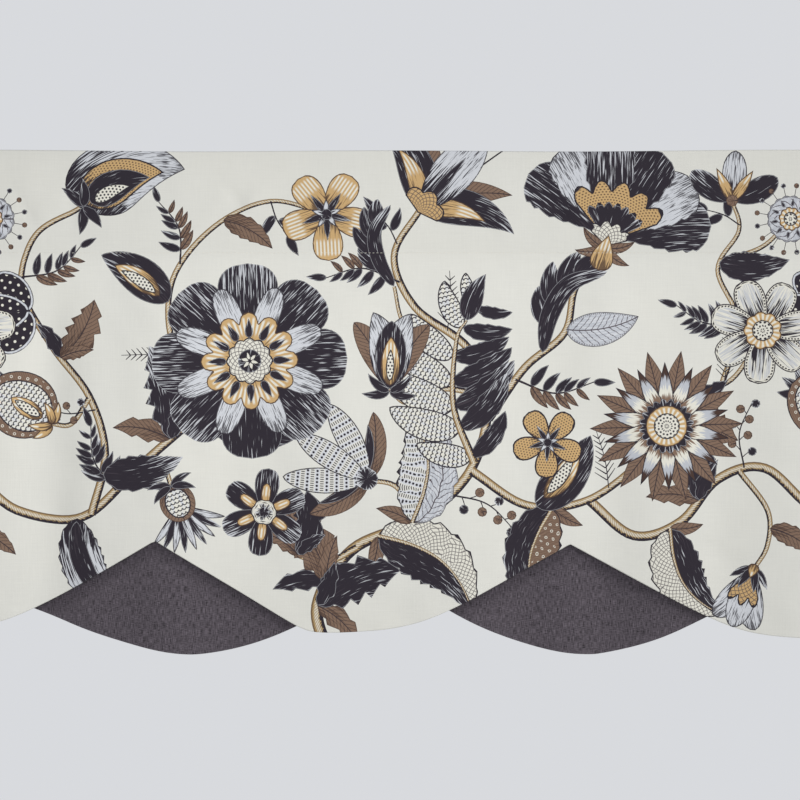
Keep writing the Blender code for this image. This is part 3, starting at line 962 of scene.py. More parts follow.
def outward(outline):
    """The way out of an anticlockwise closed outline at each of its places: square to the run past it."""
    run = np.roll(outline, -1) - np.roll(outline, 1)
    return -1j * run / np.abs(run)


def cut_front(patches):
    """The front of the panel, cut along its outline, just inside that for its rounded rim, and along every
    shape of the print. A triangle belongs to the last shape drawn over it."""
    outline = panel_outline()
    cutting = Cutting(outline)
    inner = outline - RIM * outward(outline)
    cutting.chain(np.append(inner, inner[0]))
    for patch in patches:
        cutting.loop(patch.outline)
        if patch.rib is None:
            cutting.add(patch.centre + 0.8 * (patch.outline[::2] - patch.centre))
            cutting.add([patch.centre])
        elif patch.half.max() > RIBBED:
            cutting.chain(patch.rib[1:-1])
    cutting.chain(1j * np.linspace(-4 * MM, LEVELS[1] + HEM, 70))
    for z in (-POCKET + 0.5 * MM, -POCKET - 0.5 * MM):
        cutting.chain(np.linspace(-WIDTH / 2 + MM, WIDTH / 2 - MM, 180) + 1j * z)
    cutting.add(grid_places(FRONT_STEP, 3 * MM))
    for crease in CREASES:
        cutting.add(crease_places(crease))
    return cutting.cut()[0]


def rim_of(faces):
    """The places round the edge of a sheet of triangles, in order: the edges that only one triangle has. Also
    gives the two face corners on each edge from one of them to the next."""
    ends = ([0, 1], [1, 2], [2, 0])
    corner = np.arange(faces.size).reshape(-1, 3)
    sides, corners = (np.concatenate([table[:, pair] for pair in ends]) for table in (faces, corner))
    key = np.sort(sides, axis=1) @ np.array([faces.max() + 1, 1])
    _, first, uses = np.unique(key, return_index=True, return_counts=True)
    from_place = {int(sides[row, 0]): row for row in first[uses == 1]}
    start = next(iter(from_place))
    loop = [from_place[start]]
    while (place := int(sides[loop[-1], 1])) != start:
        loop.append(from_place[place])
    if len(loop) != len(from_place):
        raise ValueError("the panel's edge is not one loop")
    return sides[loop, 0], corners[loop]


def clipped(outline, room):
    """The part of an outline whose room, a signed distance from a border, is above 0, cut straight across."""
    here = room(outline)
    there = np.roll(here, -1)
    crosses = (here > 0) != (there > 0)
    border = outline + (np.roll(outline, -1) - outline) * here / np.where(crosses, here - there, 1.0)
    return np.stack([outline, border], axis=1)[np.stack([here > 0, crosses], axis=1)]


def side_room(places):
    """The distance inwards from the inner edge of the side hems."""
    return WIDTH / 2 - SIDE_HEM - np.abs(places.real)


def low_room(places):
    """The distance upwards from the inner edge of the low hem."""
    return places.imag - lower_edge(places.real) - HEM


def seen_through(places):
    """Room inside all the hems, where the cloth's reverse shows."""
    return np.minimum.reduce([side_room(places), low_room(places), -places.imag]) - 0.4 * MM


def on_side_hem(places):
    """Room on the side hems' printed cloth, clear of the panel's edge."""
    side, high, low = side_room(places), -places.imag, low_room(places) + HEM
    return np.minimum.reduce([-side, side + SIDE_HEM - HEM_CLEAR, high - HEM_CLEAR, low - HEM_CLEAR])


def on_low_hem(places):
    """Room on the low hem's printed cloth, between the side hems and the inserts."""
    x, low = places.real, low_room(places)
    bays = [np.maximum(start - x, x - end) + 5 * MM for start, end in map(insert_ends, INSERTS)]
    return np.minimum.reduce([-low, low + HEM - HEM_CLEAR, side_room(places), *bays])


def behind_patches(patches):
    """The print on the panel's back: its larger shapes, seen through the cloth, and on the hems the print
    from beyond the panel's edges, mirrored in them. Each shape comes with whether it is seen through."""
    folds_over = [(on_side_hem, lambda p, side=side: side * WIDTH - p.conj()) for side in (-1, 1)]
    folds_over.append((on_low_hem, lambda p: p.real + 1j * (2 * lower_edge(p.real) - p.imag)))
    for patch in patches:
        if np.ptp(patch.outline.real) + np.ptp(patch.outline.imag) > SEEN_THROUGH and patch.ink != "line":
            yield patch._replace(outline=clipped(patch.outline, seen_through)), True
    for room, fold in folds_over:
        for patch in patches:
            if room(fold(patch.outline)).max() > 0:
                mirrored = moved(patch, fold)
                yield mirrored._replace(outline=clipped(mirrored.outline, room)), False


def cut_back(rim, patches):
    """The back of the panel, with the front's own edge, close rows of places along the hems' inner edges, and
    the print's shapes. Tells for each place its number on the rim, or -1."""
    inner = np.linspace(-WIDTH / 2 + SIDE_HEM, WIDTH / 2 - SIDE_HEM, 240)
    low = np.sort(np.concatenate([inner, [peak.x for peak in PEAKS if peak.x]]))
    cutting = Cutting(rim)
    for away in HEM_ROWS:
        cutting.chain(low[1:-1] + 1j * (lower_edge(low[1:-1]) + HEM + away))
        for side in (-1, 1):
            x = side * (WIDTH / 2 - SIDE_HEM - away)
            cutting.chain(x + 1j * np.linspace(-1.5 * MM, lower_edge(np.array(x)) + HEM + 2 * MM, 40))
    for patch in patches:
        cutting.loop(patch.outline)
    cutting.add(grid_places(BACK_STEP, 5 * MM))
    back, source = cutting.cut()
    return back, np.where(source < len(rim), source, -1)


# Where each corner of the print's faces lies in its shape: along it, across it, and in from its edge


def nearest_on(chain, places):
    """The nearest point of a chain to each place: its segment, the way along that, and the distance."""
    start, run = chain[:-1], np.diff(chain)
    square = np.maximum(np.abs(run) ** 2, 1e-16)
    way = np.clip(((places[:, None] - start) * run.conj()).real / square, 0.0, 1.0)
    gap = np.abs(places[:, None] - start - way * run)
    segment = gap.argmin(axis=1)
    rows = np.arange(len(places))
    return segment, way[rows, segment], gap[rows, segment]


def blade_place(patch, corners):
    """Along and across a blade by its rib: s is a share of the rib's length, t one of the half width."""
    segment, way, gap = nearest_on(patch.rib, corners)
    run = np.diff(patch.rib)
    length = np.concatenate([[0.0], np.cumsum(np.abs(run))])
    along = length[segment] + way * np.abs(run[segment])
    side = np.sign(((corners - patch.rib[segment]) * run[segment].conj()).imag)
    half = patch.half[segment] + way * (patch.half[segment + 1] - patch.half[segment])
    across = side * gap
    return along / length[-1], np.clip(across / np.maximum(half, 0.2 * MM), -1.2, 1.2), along, across


def disc_place(patch, corners):
    """Round a disc or a fan: s is the share of its reach, and t the turn, kept whole across each triangle."""
    reach = np.abs(patch.outline - patch.centre).max()
    spoke = corners - patch.centre
    middle = np.repeat(spoke.reshape(-1, 3).mean(axis=1), 3)
    turn = np.angle(middle) + np.angle(spoke / np.where(np.abs(middle) < 1e-9, 1.0, middle) + 1e-12)
    turn = np.where(np.abs(spoke) < 1e-6, np.angle(middle), turn)
    return np.abs(spoke) / reach, turn / np.pi, np.abs(spoke), turn * reach * 0.6


def print_places(cut, patches):
    """For each corner of the triangles: (s, t, millimetres from the shape's edge) and (millimetres along,
    millimetres across, a random tone of the shape)."""
    corners = cut.places[cut.faces].reshape(-1)
    shares, lengths = np.zeros((len(corners), 3)), np.zeros((len(corners), 3))
    order = np.argsort(cut.region, kind="stable")
    starts = np.searchsorted(cut.region[order], np.arange(1, len(patches) + 2))
    for number, patch in enumerate(patches, start=1):
        mine = order[starts[number - 1] : starts[number]]
        if len(mine) == 0:
            continue
        where = (mine[:, None] * 3 + np.arange(3)).reshape(-1)
        place = disc_place if patch.rib is None else blade_place
        s, t, along, across = place(patch, corners[where])
        edge = nearest_on(np.append(patch.outline, patch.outline[0]), corners[where])[2]
        shares[where] = np.stack([s, t, edge * 1000], axis=1)
        lengths[where] = np.stack([along * 1000, across * 1000, np.full(len(where), patch.tone)], axis=1)
    return shares, lengths


# Meshes


def new_piece(name, mesh, flat=None, area=None):
    """Puts a finished mesh into the scene as a piece that rides on the valance."""
    piece = new_object(name, mesh)
    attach(piece, "root")
    return piece


def new_object(name, data):
    """Puts an object into the scene."""
    made = bpy.data.objects.new(name, data)
    bpy.context.scene.collection.objects.link(made)
    return made


def new_mesh(name, verts, *faces):
    """A smoothly shaded mesh of an array of places and arrays of faces."""
    mesh = bpy.data.meshes.new(name)
    mesh.from_pydata(verts.reshape(-1, 3).tolist(), [], [face for part in faces for face in part.tolist()])
    mesh.polygons.foreach_set("use_smooth", np.ones(len(mesh.polygons), bool))
    return mesh


def give_attribute(mesh, name, kind, domain, values):
    """Stores an array on the mesh, one value or vector for each vertex or face corner."""
    layer = mesh.attributes.new(name, kind, domain)
    layer.data.foreach_set("vector" if kind == "FLOAT_VECTOR" else "value", values.astype(np.float32).ravel())


def stand(places, depth):
    """Places of the panel by their flat place and by their share of its thickness, from 0 in front."""
    x, z = places.real, places.imag
    return np.stack([x, panel_face(x, z) + depth * hem_depth(x, z), z - dip(x, z)], axis=1)


def half_map(places, middle):
    """Where places of the front lie on the bake map: the middle of their triangle says on which half."""
    right = np.repeat(middle.real > 0, 3)
    u = np.where(right, places.real, places.real + WIDTH / 2) / (WIDTH / 2)
    v = -places.imag / MAP_HEIGHT
    return np.stack([MAP_MARGIN + MAP_SPAN * u, np.where(right, MAP_RIGHT_TOP - v, MAP_LEFT_TOP - v)], axis=1)


def bake_map(front, back, rim_count):
    """Each corner's place on the bake map: the front's, those of the rim's two rows of quads, the back's."""
    corners = front.places[front.faces]
    parts = [half_map(corners.reshape(-1), corners.mean(axis=1))]
    way = np.linspace(MAP_MARGIN, 1.0 - MAP_MARGIN, rim_count + 1)
    for row in (0, 1):
        low, high = MAP_RIM + MAP_RIM_ROW * row, MAP_RIM + MAP_RIM_ROW * (row + 1)
        ends = [(way[1:], low), (way[:-1], low), (way[:-1], high), (way[1:], high)]
        quads = [np.stack([u, np.full(rim_count, v)], axis=1) for u, v in ends]
        parts.append(np.stack(quads, axis=1).reshape(-1, 2))
    corners = back.places[back.faces[:, ::-1]].reshape(-1)
    u, v = 0.5 - corners.real / WIDTH * MAP_SPAN, MAP_BACK_TOP + corners.imag * MAP_BACK_SCALE
    return np.concatenate([*parts, np.stack([u, v], axis=1)])


def panel_normals(front, rim, back, own):
    """The way each vertex faces: the surfaces' own normals, turned outwards round the rim."""
    edge = front.places[rim]
    outwards = outward(edge)
    out = np.stack([outwards.real, np.zeros(len(rim)), outwards.imag], axis=1)
    fore = face_normals(panel_face, front.places.real, front.places.imag)
    fore[rim] = fore[rim] + 0.5 * out
    aft = -face_normals(panel_back, back.places.real, back.places.imag)
    last = -face_normals(panel_face, edge.real, edge.imag) + 0.5 * out
    return unit(np.concatenate([fore, out, last, aft[own]]))


def panel_mesh(name, patches):
    """The closed mesh of the face panel: the printed front, a rounded rim that carries the print over, and
    the back, where the hems show the print and the rest the cloth's reverse."""
    front = cut_front(patches)
    rim, rim_corners = rim_of(front.faces)
    edge = front.places[rim]
    outwards = outward(edge)
    behind_it = [(patch, through) for patch, through in behind_patches(patches) if len(patch.outline) > 2]
    behind = [patch for patch, _ in behind_it]
    back, number = cut_back(edge, behind)
    own = np.flatnonzero(number < 0)

    front_co = stand(front.places, 0.0)
    front_co[rim], middle_co, back_co = (
        stand(edge + out * outwards, depth) for out, depth in (RIM_FRONT, RIM_MIDDLE, RIM_BACK)
    )
    verts = np.concatenate([front_co, middle_co, back_co, stand(back.places, 1.0)[own]])

    first_rim, first_back = len(front_co), len(front_co) + len(rim)
    back_index = np.empty(len(back.places), int)
    back_index[number >= 0] = first_back + number[number >= 0]
    back_index[own] = first_back + len(rim) + np.arange(len(own))
    here, there = np.arange(len(rim)), np.roll(np.arange(len(rim)), -1)
    rim_quads = np.concatenate([
        np.stack([rim[there], rim[here], first_rim + here, first_rim + there], axis=1),
        np.stack([first_rim + there, first_rim + here, first_back + here, first_back + there], axis=1),
    ])
    back_faces = back_index[back.faces][:, ::-1]
    mesh = new_mesh(name, verts, front.faces, rim_quads, back_faces)

    slots = np.array([0, *(INK_SLOTS[patch.ink] for patch in patches)])[front.region]
    back_slots = [0, *(REVERSE_SLOT if through else INK_SLOTS[patch.ink] for patch, through in behind_it)]
    middle = back.places[back.faces].mean(axis=1)
    plain = (back.region == 0) & (side_room(middle) > 0) & (low_room(middle) > 0)
    back_slots = np.where(plain, REVERSE_SLOT, np.array(back_slots)[back.region])
    slots = np.concatenate([slots, np.tile(slots[rim_corners[:, 0] // 3], 2), back_slots])
    mesh.polygons.foreach_set("material_index", slots.astype(np.int32))

    on_rim = np.tile(rim_corners[:, [1, 0, 0, 1]], (2, 1)).reshape(-1)
    fore_and_aft = zip(("share", "length"), print_places(front, patches), print_places(back, behind))
    for attribute, fore, aft in fore_and_aft:
        aft = aft.reshape(-1, 3, 3)[:, ::-1].reshape(-1, 3)
        values = np.concatenate([fore, fore[on_rim], aft])
        give_attribute(mesh, attribute, "FLOAT_VECTOR", "CORNER", values)
    colours = np.array([GROUND, *(INKS[INK_NAMED[patch.ink]] for patch in behind)])[back.region, :3]
    unseen = np.zeros((3 * len(front.faces) + 8 * len(rim), 3))
    seen = np.concatenate([unseen, np.repeat(colours, 3, axis=0)])
    give_attribute(mesh, "through", "FLOAT_VECTOR", "CORNER", seen)

    places = bake_map(front, back, len(rim))
    mesh.uv_layers.new(name="OFBake").data.foreach_set("uv", places.astype(np.float32).ravel())
    mesh.normals_split_custom_set_from_vertices(panel_normals(front, rim, back, own).tolist())
    return mesh


def sheet_mesh(name, surface, columns, rows, depth):
    """A closed sheet of cloth. surface(u, v) gives x, y, z of its front, for u across and v up from 0 to 1.
    The back lies depth(u, v) behind, and a middle row rounds each long edge. Also gives its places."""
    u, v = np.meshgrid(np.linspace(0.0, 1.0, columns + 1), np.linspace(0.0, 1.0, rows + 1))
    x, y, z = surface(u, v)
    front = np.stack([x, y, z], axis=-1)
    back = np.stack([x, y + depth(u, v), z], axis=-1)
    low = 0.5 * (front[0] + back[0]) - np.array([0, 0, ROUNDED])
    high = 0.5 * (front[-1] + back[-1])
    ring = np.concatenate([front, high[None], back[::-1], low[None]])
    count = len(ring)
    index = np.arange(count * (columns + 1)).reshape(count, columns + 1)
    next_row = np.roll(index, -1, axis=0)
    quads = np.stack([index[:, :-1], index[:, 1:], next_row[:, 1:], next_row[:, :-1]], axis=-1).reshape(-1, 4)
    row = np.arange(rows)
    sides = np.stack([row, row + 1, 2 * rows + 1 - row, 2 * rows + 2 - row], axis=-1)
    tips = np.array([[rows, rows + 1, rows + 2], [count - 1, 0, count - 2]])
    ways = ((0, 1), (columns, -1))
    ends = [index[:, column][part][:, ::turned] for column, turned in ways for part in (sides, tips)]
    mesh = new_mesh(name, ring, quads, *ends)
    mesh.set_sharp_from_angle(angle=np.radians(50))
    return mesh, ring.reshape(-1, 3)


def stitch_row(surface, start, end, facing=1):
    """Stitches on the surface y = surface(x, z) from start to end, each x and z. The face looks along -1."""
    starts, ends = (np.stack([x, surface(x, z), z], axis=-1) for x, z in (start, end))
    return starts, ends, np.full(len(starts), facing)


def pocket_rows(sizes):
    """The pocket's stitch line, on the printed face and on the strip behind it."""
    x = np.arange(-WIDTH / 2 + ROW_END, WIDTH / 2 - ROW_END - sizes.length, sizes.spacing)
    on, line = x + sizes.length, np.full_like(x, -POCKET)
    behind = line + STRIP_HIGH.z - STRIP_DEPTH
    return [
        stitch_row(panel_face, (x, line), (on, line), facing=-1),
        stitch_row(strip_back, (x, behind), (on, behind)),
    ]


def hem_rows(sizes):
    """Slanting stitches over the inner edges of the hems, with none where the inserts lie."""
    x = np.arange(-WIDTH / 2 + SIDE_HEM + ROW_END, WIDTH / 2 - SIDE_HEM - HEM_ROW_END, sizes.hem_spacing)
    x = x[[not any(start < place < end for start, end in map(insert_ends, INSERTS)) for place in x]]
    on = x + HEM_STITCH
    start, end = (x, lower_edge(x) + HEM + HEM_STITCH_IN), (on, lower_edge(on) + HEM - HEM_STITCH_OUT)
    rows = [stitch_row(panel_back, start, end)]
    corner = lower_edge(np.array(WIDTH / 2)) + HEM
    z = np.arange(corner + ROW_END, -POCKET - 2 * POCKET_HEM, sizes.hem_spacing)
    for side in (-1, 1):
        edge = np.full_like(z, side * (WIDTH / 2 - SIDE_HEM))
        start, end = (edge - side * HEM_STITCH_IN, z), (edge + side * HEM_STITCH_OUT, z + HEM_STITCH)
        rows.append(stitch_row(panel_back, start, end))
    return rows


def seam_rows(insert, sizes):
    """The seam through an insert above the panel's lower edge, and the zigzag over its own upper edge."""

    def back(x, z):
        return insert_face(insert, x, z) + INSERT_DEPTH

    start, end = insert_ends(insert)
    x = np.arange(start + SEAM_START, end - ROW_END, sizes.spacing)
    on = x + sizes.length
    rows = [stitch_row(back, (x, lower_edge(x) + SEAM_UP), (on, lower_edge(on) + SEAM_UP))]
    for first, last in ((OVERCAST_HIGH, OVERCAST_LOW), (OVERCAST_LOW, OVERCAST_HIGH)):
        there = x + OVERCAST_RUN * (first < last)
        on = there + OVERCAST_RUN
        start, end = (there, insert_top(insert, there) + first), (on, insert_top(insert, on) + last)
        rows.append(stitch_row(back, start, end))
    return rows


def stitch_mesh(name, starts, ends, facing, thickness):
    """Stitches, each a five-sided bar from start to end on cloth that faces -Y or +Y there. Round it the turn
    t goes out by cos t and sideways by sin t. A sine arch thins it at both ends, where it dips in."""
    s = np.linspace(0.0, 1.0, STITCH_PLACES)[:, None, None]
    t = (np.arange(STITCH_SIDES) / STITCH_SIDES * 2 * np.pi)[:, None]
    run = (ends - starts)[:, None, None]
    out = np.stack([0 * facing, facing, 0 * facing], axis=-1)[:, None, None]
    side = np.cross(out, unit(run))
    arch = np.sin(np.pi * np.clip(s, 0.04, 0.96)) ** 0.6
    lift = 0.25 * thickness * arch - 0.2 * MM * (1 - arch)
    about = 0.5 * thickness * arch * (np.cos(t) * out + np.sin(t) * side)
    verts = starts[:, None, None] + s * run + lift * out + about
    index = np.arange(verts.size // 3).reshape(verts.shape[:3])
    turned = np.roll(index, -1, axis=2)
    sides = np.stack([index[:, :-1], index[:, 1:], turned[:, 1:], turned[:, :-1]], axis=-1).reshape(-1, 4)
    caps = np.concatenate([index[:, 0, :], index[:, -1, ::-1]])
    return new_mesh(name, verts, sides, caps)


def sew(name, thread, thickness, rows):
    """Makes one piece of rows of stitches."""
    starts, ends, facing = (np.concatenate(parts) for parts in zip(*rows))
    mesh = stitch_mesh(name + "_thread", starts, ends, facing, thickness)
    mesh.materials.append(thread)
    new_piece(name, mesh)


# Shader maths as expressions


class Amount:
    """A socket of a material's nodes. Arithmetic on it adds Math nodes."""

    def __init__(self, paint, socket):
        self.paint, self.socket = paint, socket

    def math(self, operation, *values):
        """A Math node on these values, each a number or an Amount."""
        return self.paint.node("Math", {"operation": operation}, dict(enumerate(values)))

    def __add__(self, other):
        return self.math("ADD", self, other)

    def __sub__(self, other):
        return self.math("SUBTRACT", self, other)

    def __rsub__(self, other):
        return self.math("SUBTRACT", other, self)

    def __mul__(self, other):
        return self.math("MULTIPLY", self, other)

    def __truediv__(self, other):
        return self.math("DIVIDE", self, other)

    __radd__ = __add__
    __rmul__ = __mul__

    def size(self):
        """The amount without its sign."""
        return self.math("ABSOLUTE", self)

    def wave(self):
        """Its sine."""
        return self.math("SINE", self)

    def floor(self):
        """The whole number below it."""
        return self.math("FLOOR", self)

    def root(self):
        """Its square root."""
        return self.math("SQRT", self)

    def saw(self, period=1.0):
        """0 to 1 over each period."""
        return self.math("FRACT", self / period)

    def stripe(self, period, width):
        """1 in a stripe of the given width, once each period, with soft sides."""
        away = ((self / period + 0.5).saw() - 0.5).size() * period
        return away.under(width / 2, width / 4)

    def over(self, level, soft):
        """1 above the level and 0 below it, over a soft step."""
        settings = {"interpolation_type": "SMOOTHSTEP"}
        return self.paint.node("MapRange", settings, {0: self, 1: level - soft, 2: level + soft})

    def under(self, level, soft):
        """1 below the level and 0 above it, over a soft step."""
        return 1.0 - self.over(level, soft)

    def either(self, other):
        """The larger of the two."""
        return self.math("MAXIMUM", self, other)


class Paint:
    """A material under construction."""

    def __init__(self, name):
        old = bpy.data.materials.get(name)
        if old:
            bpy.data.materials.remove(old)
        self.material = bpy.data.materials.new(name)
        self.material.use_nodes = True
        self.nodes, self.links = self.material.node_tree.nodes, self.material.node_tree.links
        self.shader = self.nodes["Principled BSDF"]

    def node(self, kind, settings=None, sockets=None, out=0):
        """Adds a node: its settings first, then a value or a link for each socket named. Gives one output."""
        made = self.nodes.new("ShaderNode" + kind)
        for name, value in (settings or {}).items():
            setattr(made, name, value)
        for key, value in (sockets or {}).items():
            self.plug(made.inputs[key], value)
        return Amount(self, made.outputs[out])

    def plug(self, socket, value):
        """Links an Amount to a socket, or sets a plain value on it."""
        if isinstance(value, Amount):
            self.links.new(value.socket, socket)
        else:
            socket.default_value = value

    def finish(self, sockets):
        """Sets or links the shader's own sockets. Gives the material."""
        for name, value in sockets.items():
            self.plug(self.shader.inputs[name], value)
        return self.material

    def triple(self, name):
        """The three numbers of a vector attribute."""
        return self.apart(self.node("Attribute", {"attribute_name": name}, out="Vector"))

    def place(self):
        """The place on the object, x, y and z in metres."""
        return self.apart(self.node("TexCoord", out="Object"))

    def apart(self, vector):
        """The three numbers of a vector."""
        split = self.node("SeparateXYZ", None, {0: vector})
        return [Amount(self, output) for output in split.socket.node.outputs]

    def together(self, x, y, z):
        """A vector of three numbers."""
        return self.node("CombineXYZ", None, {0: x, 1: y, 2: z})

    def noise(self, x, y, z, detail=1.0):
        """Soft noise, about 0.3 to 0.7, at a place given in noise cells."""
        sockets = {"Vector": self.together(x, y, z), "Scale": 1.0, "Detail": detail}
        return self.node("TexNoise", {"noise_dimensions": "3D"}, sockets)

    def mix(self, mask, first, second):
        """The first colour where the mask is 0 and the second where it is 1."""
        sockets = {0: mask, 6: first, 7: second}
        return self.node("Mix", {"data_type": "RGBA"}, sockets, out=2)

    def shade(self, colour, amount):
        """The colour made darker or lighter by an amount near 1."""
        sockets = {0: 1.0, 6: colour, 7: self.together(amount, amount, amount)}
        return self.node("Mix", {"data_type": "RGBA", "blend_type": "MULTIPLY"}, sockets, out=2)


def srgb(red, green, blue):
    """A colour given as the screen shows it, 0 to 255, as the linear colour that the shader takes."""
    share = np.array([red, green, blue]) / 255
    linear = np.where(share <= 0.04045, share / 12.92, ((share + 0.055) / 1.055) ** 2.4)
    return (*[float(part) for part in linear], 1.0)


# The colours of the print and of the other cloth

GROUND = srgb(226, 226, 220)
DARK = srgb(48, 43, 52)
SOFT_DARK = srgb(80, 72, 80)
PALE = srgb(214, 217, 223)
GREY_BLUE = srgb(193, 197, 205)
GOLD = srgb(206, 172, 122)
DEEP_GOLD = srgb(150, 117, 77)
BROWN = srgb(134, 110, 94)
DEEP_BROWN = srgb(76, 58, 52)
CREAM = srgb(232, 230, 219)
STEM_GOLD = srgb(178, 152, 108)
CHARCOAL = srgb(86, 80, 87)
# The charcoal as the painted shade band below the panel's lower edge makes it look
CHARCOAL_PAINTED_SHADE = srgb(62, 57, 64)
DARK_THREAD = srgb(120, 113, 118)
THREAD = srgb(230, 229, 221)
REVERSE = srgb(224, 222, 214)

# How much darker the painted shade makes the cloth in front of the pocket, how much lighter the cloth is
# where its threads are thick, and how much stronger the charcoal cloth's bump is
POCKET_SHADE, SLUB, CHARCOAL_BUMP = 0.04, 0.008 / 0.12, 1.6
DULL = {"Specular IOR Level": 0.16, "Sheen Weight": 0.04, "Sheen Roughness": 0.6}


def weave(paint, colour, bump, thread=0.62, rough=0.84, lined=0.0):
    """Finishes a woven cloth: threads thick and thin both ways, a little light and dark with them, and a
    bump. Threads lie so many millimetres apart. In front of the pocket a painted shade makes the cloth
    darker by the given share."""
    x, _, z = paint.place()
    x, z = x * 1000, z * 1000
    weft = paint.noise(x * 0.045, z / thread * 0.5, 3.0, detail=2.0)
    warp = paint.noise(x / thread * 0.5, z * 0.045, 9.0, detail=2.0)
    cloth = weft + warp - 1.0
    # Painted shade: the cloth above the stitch line is darker, as if the strip behind the pocket kept the
    # light from behind out.
    behind = (z + POCKET / MM).over(-3.0, 9.0) * lined
    colour = paint.shade(colour, 1.0 - behind + cloth * SLUB)
    ribs = (x * (np.pi / thread)).wave() * (z * (np.pi / thread)).wave()
    rough = rough + cloth * 0.25
    sockets = {"Strength": bump, "Distance": 0.25 * MM, "Height": cloth * 1.6 + ribs * 0.35 + 0.5}
    raised = paint.node("Bump", None, sockets)
    return paint.finish({"Base Color": colour, "Roughness": rough, "Normal": raised, **DULL})


class Ink:
    """What an ink's pattern is drawn with: the place in its shape and some ready masks."""

    def __init__(self, paint):
        self.s, self.t, self.edge = paint.triple("share")
        self.along, self.across, self.tone = paint.triple("length")
        self.paint = paint
        self.seed = self.tone * 57.0
        self.wobble = paint.noise(self.along * 0.45, self.across * 0.45, self.seed) - 0.5

    def streaks(self, fine=1.15, long=0.055, seed=0.0):
        """Brush streaks that run along the shape, about a millimetre apart."""
        return self.paint.noise(self.across * fine, self.along * long, self.seed + seed, detail=1.5)

    def outline(self, width=0.75):
        """1 on the drawn line round the shape, a little thick and thin."""
        return (self.edge + self.wobble * 0.8).under(width * 1.3, 0.28)

    def dots(self, cell, radius):
        """Round dots in staggered rows."""
        row = (self.along / cell).floor()
        u = ((self.across / cell + row * 0.5).saw() - 0.5) * cell
        v = ((self.along / cell).saw() - 0.5) * cell
        return (u * u + v * v).root().under(radius, 0.22)


def night(paint, ink):
    """Aubergine black, feathered with pale streaks towards the tip, and a pale hair line inside its edge."""
    reach = (ink.s - 0.40).either(0.0) * (0.05 + ink.tone * 0.30)
    brush = (ink.streaks() + reach).over(0.70, 0.05)
    root = (ink.streaks(seed=4.0) + (0.34 - ink.s) * 0.22).over(0.66, 0.05) * ink.s.under(0.36, 0.12)
    colour = paint.mix(brush * 0.9, DARK, PALE)
    colour = paint.mix(root * 0.45, colour, SOFT_DARK)
    hair = (ink.edge - 0.42).size().under(0.14, 0.10)
    return paint.mix(hair * 0.5, colour, PALE)


def frost(paint, ink):
    """Pale blue grey with dark brush strokes out of its foot and its tip, and a dark outline."""
    foot = (ink.streaks() + (0.60 - ink.s) * 0.50).over(0.62, 0.05)
    fine = (ink.streaks(1.9, 0.08, 7.0)).over(0.60, 0.03) * 0.5
    tip = (ink.streaks(1.3, 0.09, 2.0) + (ink.s - 0.66) * 0.55).over(0.63, 0.04)
    tip = tip * ink.s.over(0.60, 0.1) * 0.85
    colour = paint.mix(fine, PALE, GREY_BLUE)
    colour = paint.mix(foot.either(tip), colour, DARK)
    return paint.mix(ink.outline(0.62) * 0.92, colour, DARK)


def honey(paint, ink):
    """Gold with cream fingers towards the rim, brown strokes out of the foot and a brown outline."""
    finger = ink.across.stripe(3.1, 1.5)
    zone = ink.s.over(0.56, 0.06) * ink.s.under(0.88, 0.04) * ink.edge.over(1.2, 0.3)
    foot = (ink.streaks() + (0.50 - ink.s) * 0.5).over(0.60, 0.05)
    colour = paint.mix(foot * 0.85, GOLD, DEEP_BROWN)
    colour = paint.mix(finger * zone, colour, CREAM)
    return paint.mix(ink.outline(0.65) * 0.95, colour, DEEP_BROWN)


def bark(paint, ink):
    """Brown with dark slanting veins, a dark midrib and darker strokes out of the foot."""
    slant = ink.along - ink.across.size() * 1.3 + ink.wobble * 1.6
    vein = slant.stripe(4.6, 0.75) * ink.edge.over(0.9, 0.4)
    foot = (ink.streaks() + (0.5 - ink.s) * 0.4).over(0.62, 0.06)
    rib = ink.across.size().under(0.42, 0.16)
    colour = paint.mix(foot * 0.7, BROWN, DEEP_BROWN)
    colour = paint.mix((vein * 0.75).either(rib * 0.9), colour, DARK)
    return paint.mix(ink.outline(0.5) * 0.8, colour, DEEP_BROWN)


def mist(paint, ink):
    """Grey blue with fine dark veins that branch off the midrib, and a dotted border."""
    slant = ink.along - ink.across.size() * 0.9 + ink.wobble * 2.4
    vein = slant.stripe(5.2, 0.7) * ink.edge.over(2.0, 0.4)
    rib = ink.across.size().under(0.45, 0.18)
    dotted = ink.along.stripe(1.9, 0.9) * (ink.edge - 1.35).size().under(0.42, 0.18)
    marks = vein.either(rib).either(dotted * 0.8)
    pale = paint.mix(ink.streaks(0.7, 0.06, 5.0).over(0.52, 0.12), GREY_BLUE, PALE)
    colour = paint.mix(marks, pale, SOFT_DARK)
    return paint.mix(ink.outline(0.55) * 0.85, colour, DARK)


def lattice(paint, ink):
    """A net of dark lines on cream, or on gold where the shape's tone says so."""
    one = (ink.along + ink.across).stripe(4.2, 0.8)
    two = (ink.along - ink.across).stripe(4.2, 0.8)
    fill = paint.mix(ink.tone.over(0.5, 0.01), CREAM, GOLD)
    colour = paint.mix(one.either(two) * ink.edge.over(1.3, 0.3) * 0.85, fill, SOFT_DARK)
    return paint.mix(ink.outline(0.85), colour, DARK)


def pips(paint, ink):
    """Cream with dark dots."""
    colour = paint.mix(ink.dots(2.9, 0.85) * ink.edge.over(0.9, 0.2), CREAM, DARK)
    return paint.mix(ink.outline(0.7), colour, DARK)


def studded(paint, ink):
    """Aubergine black with cream dots and a pale border."""
    colour = paint.mix(ink.dots(6.4, 1.15) * ink.edge.over(3.0, 0.2), DARK, CREAM)
    border = paint.mix(ink.streaks(0.8, 0.5).over(0.55, 0.1), PALE, GREY_BLUE)
    colour = paint.mix(ink.edge.under(2.1, 0.2), colour, border)
    return paint.mix(ink.outline(0.45), colour, DARK)


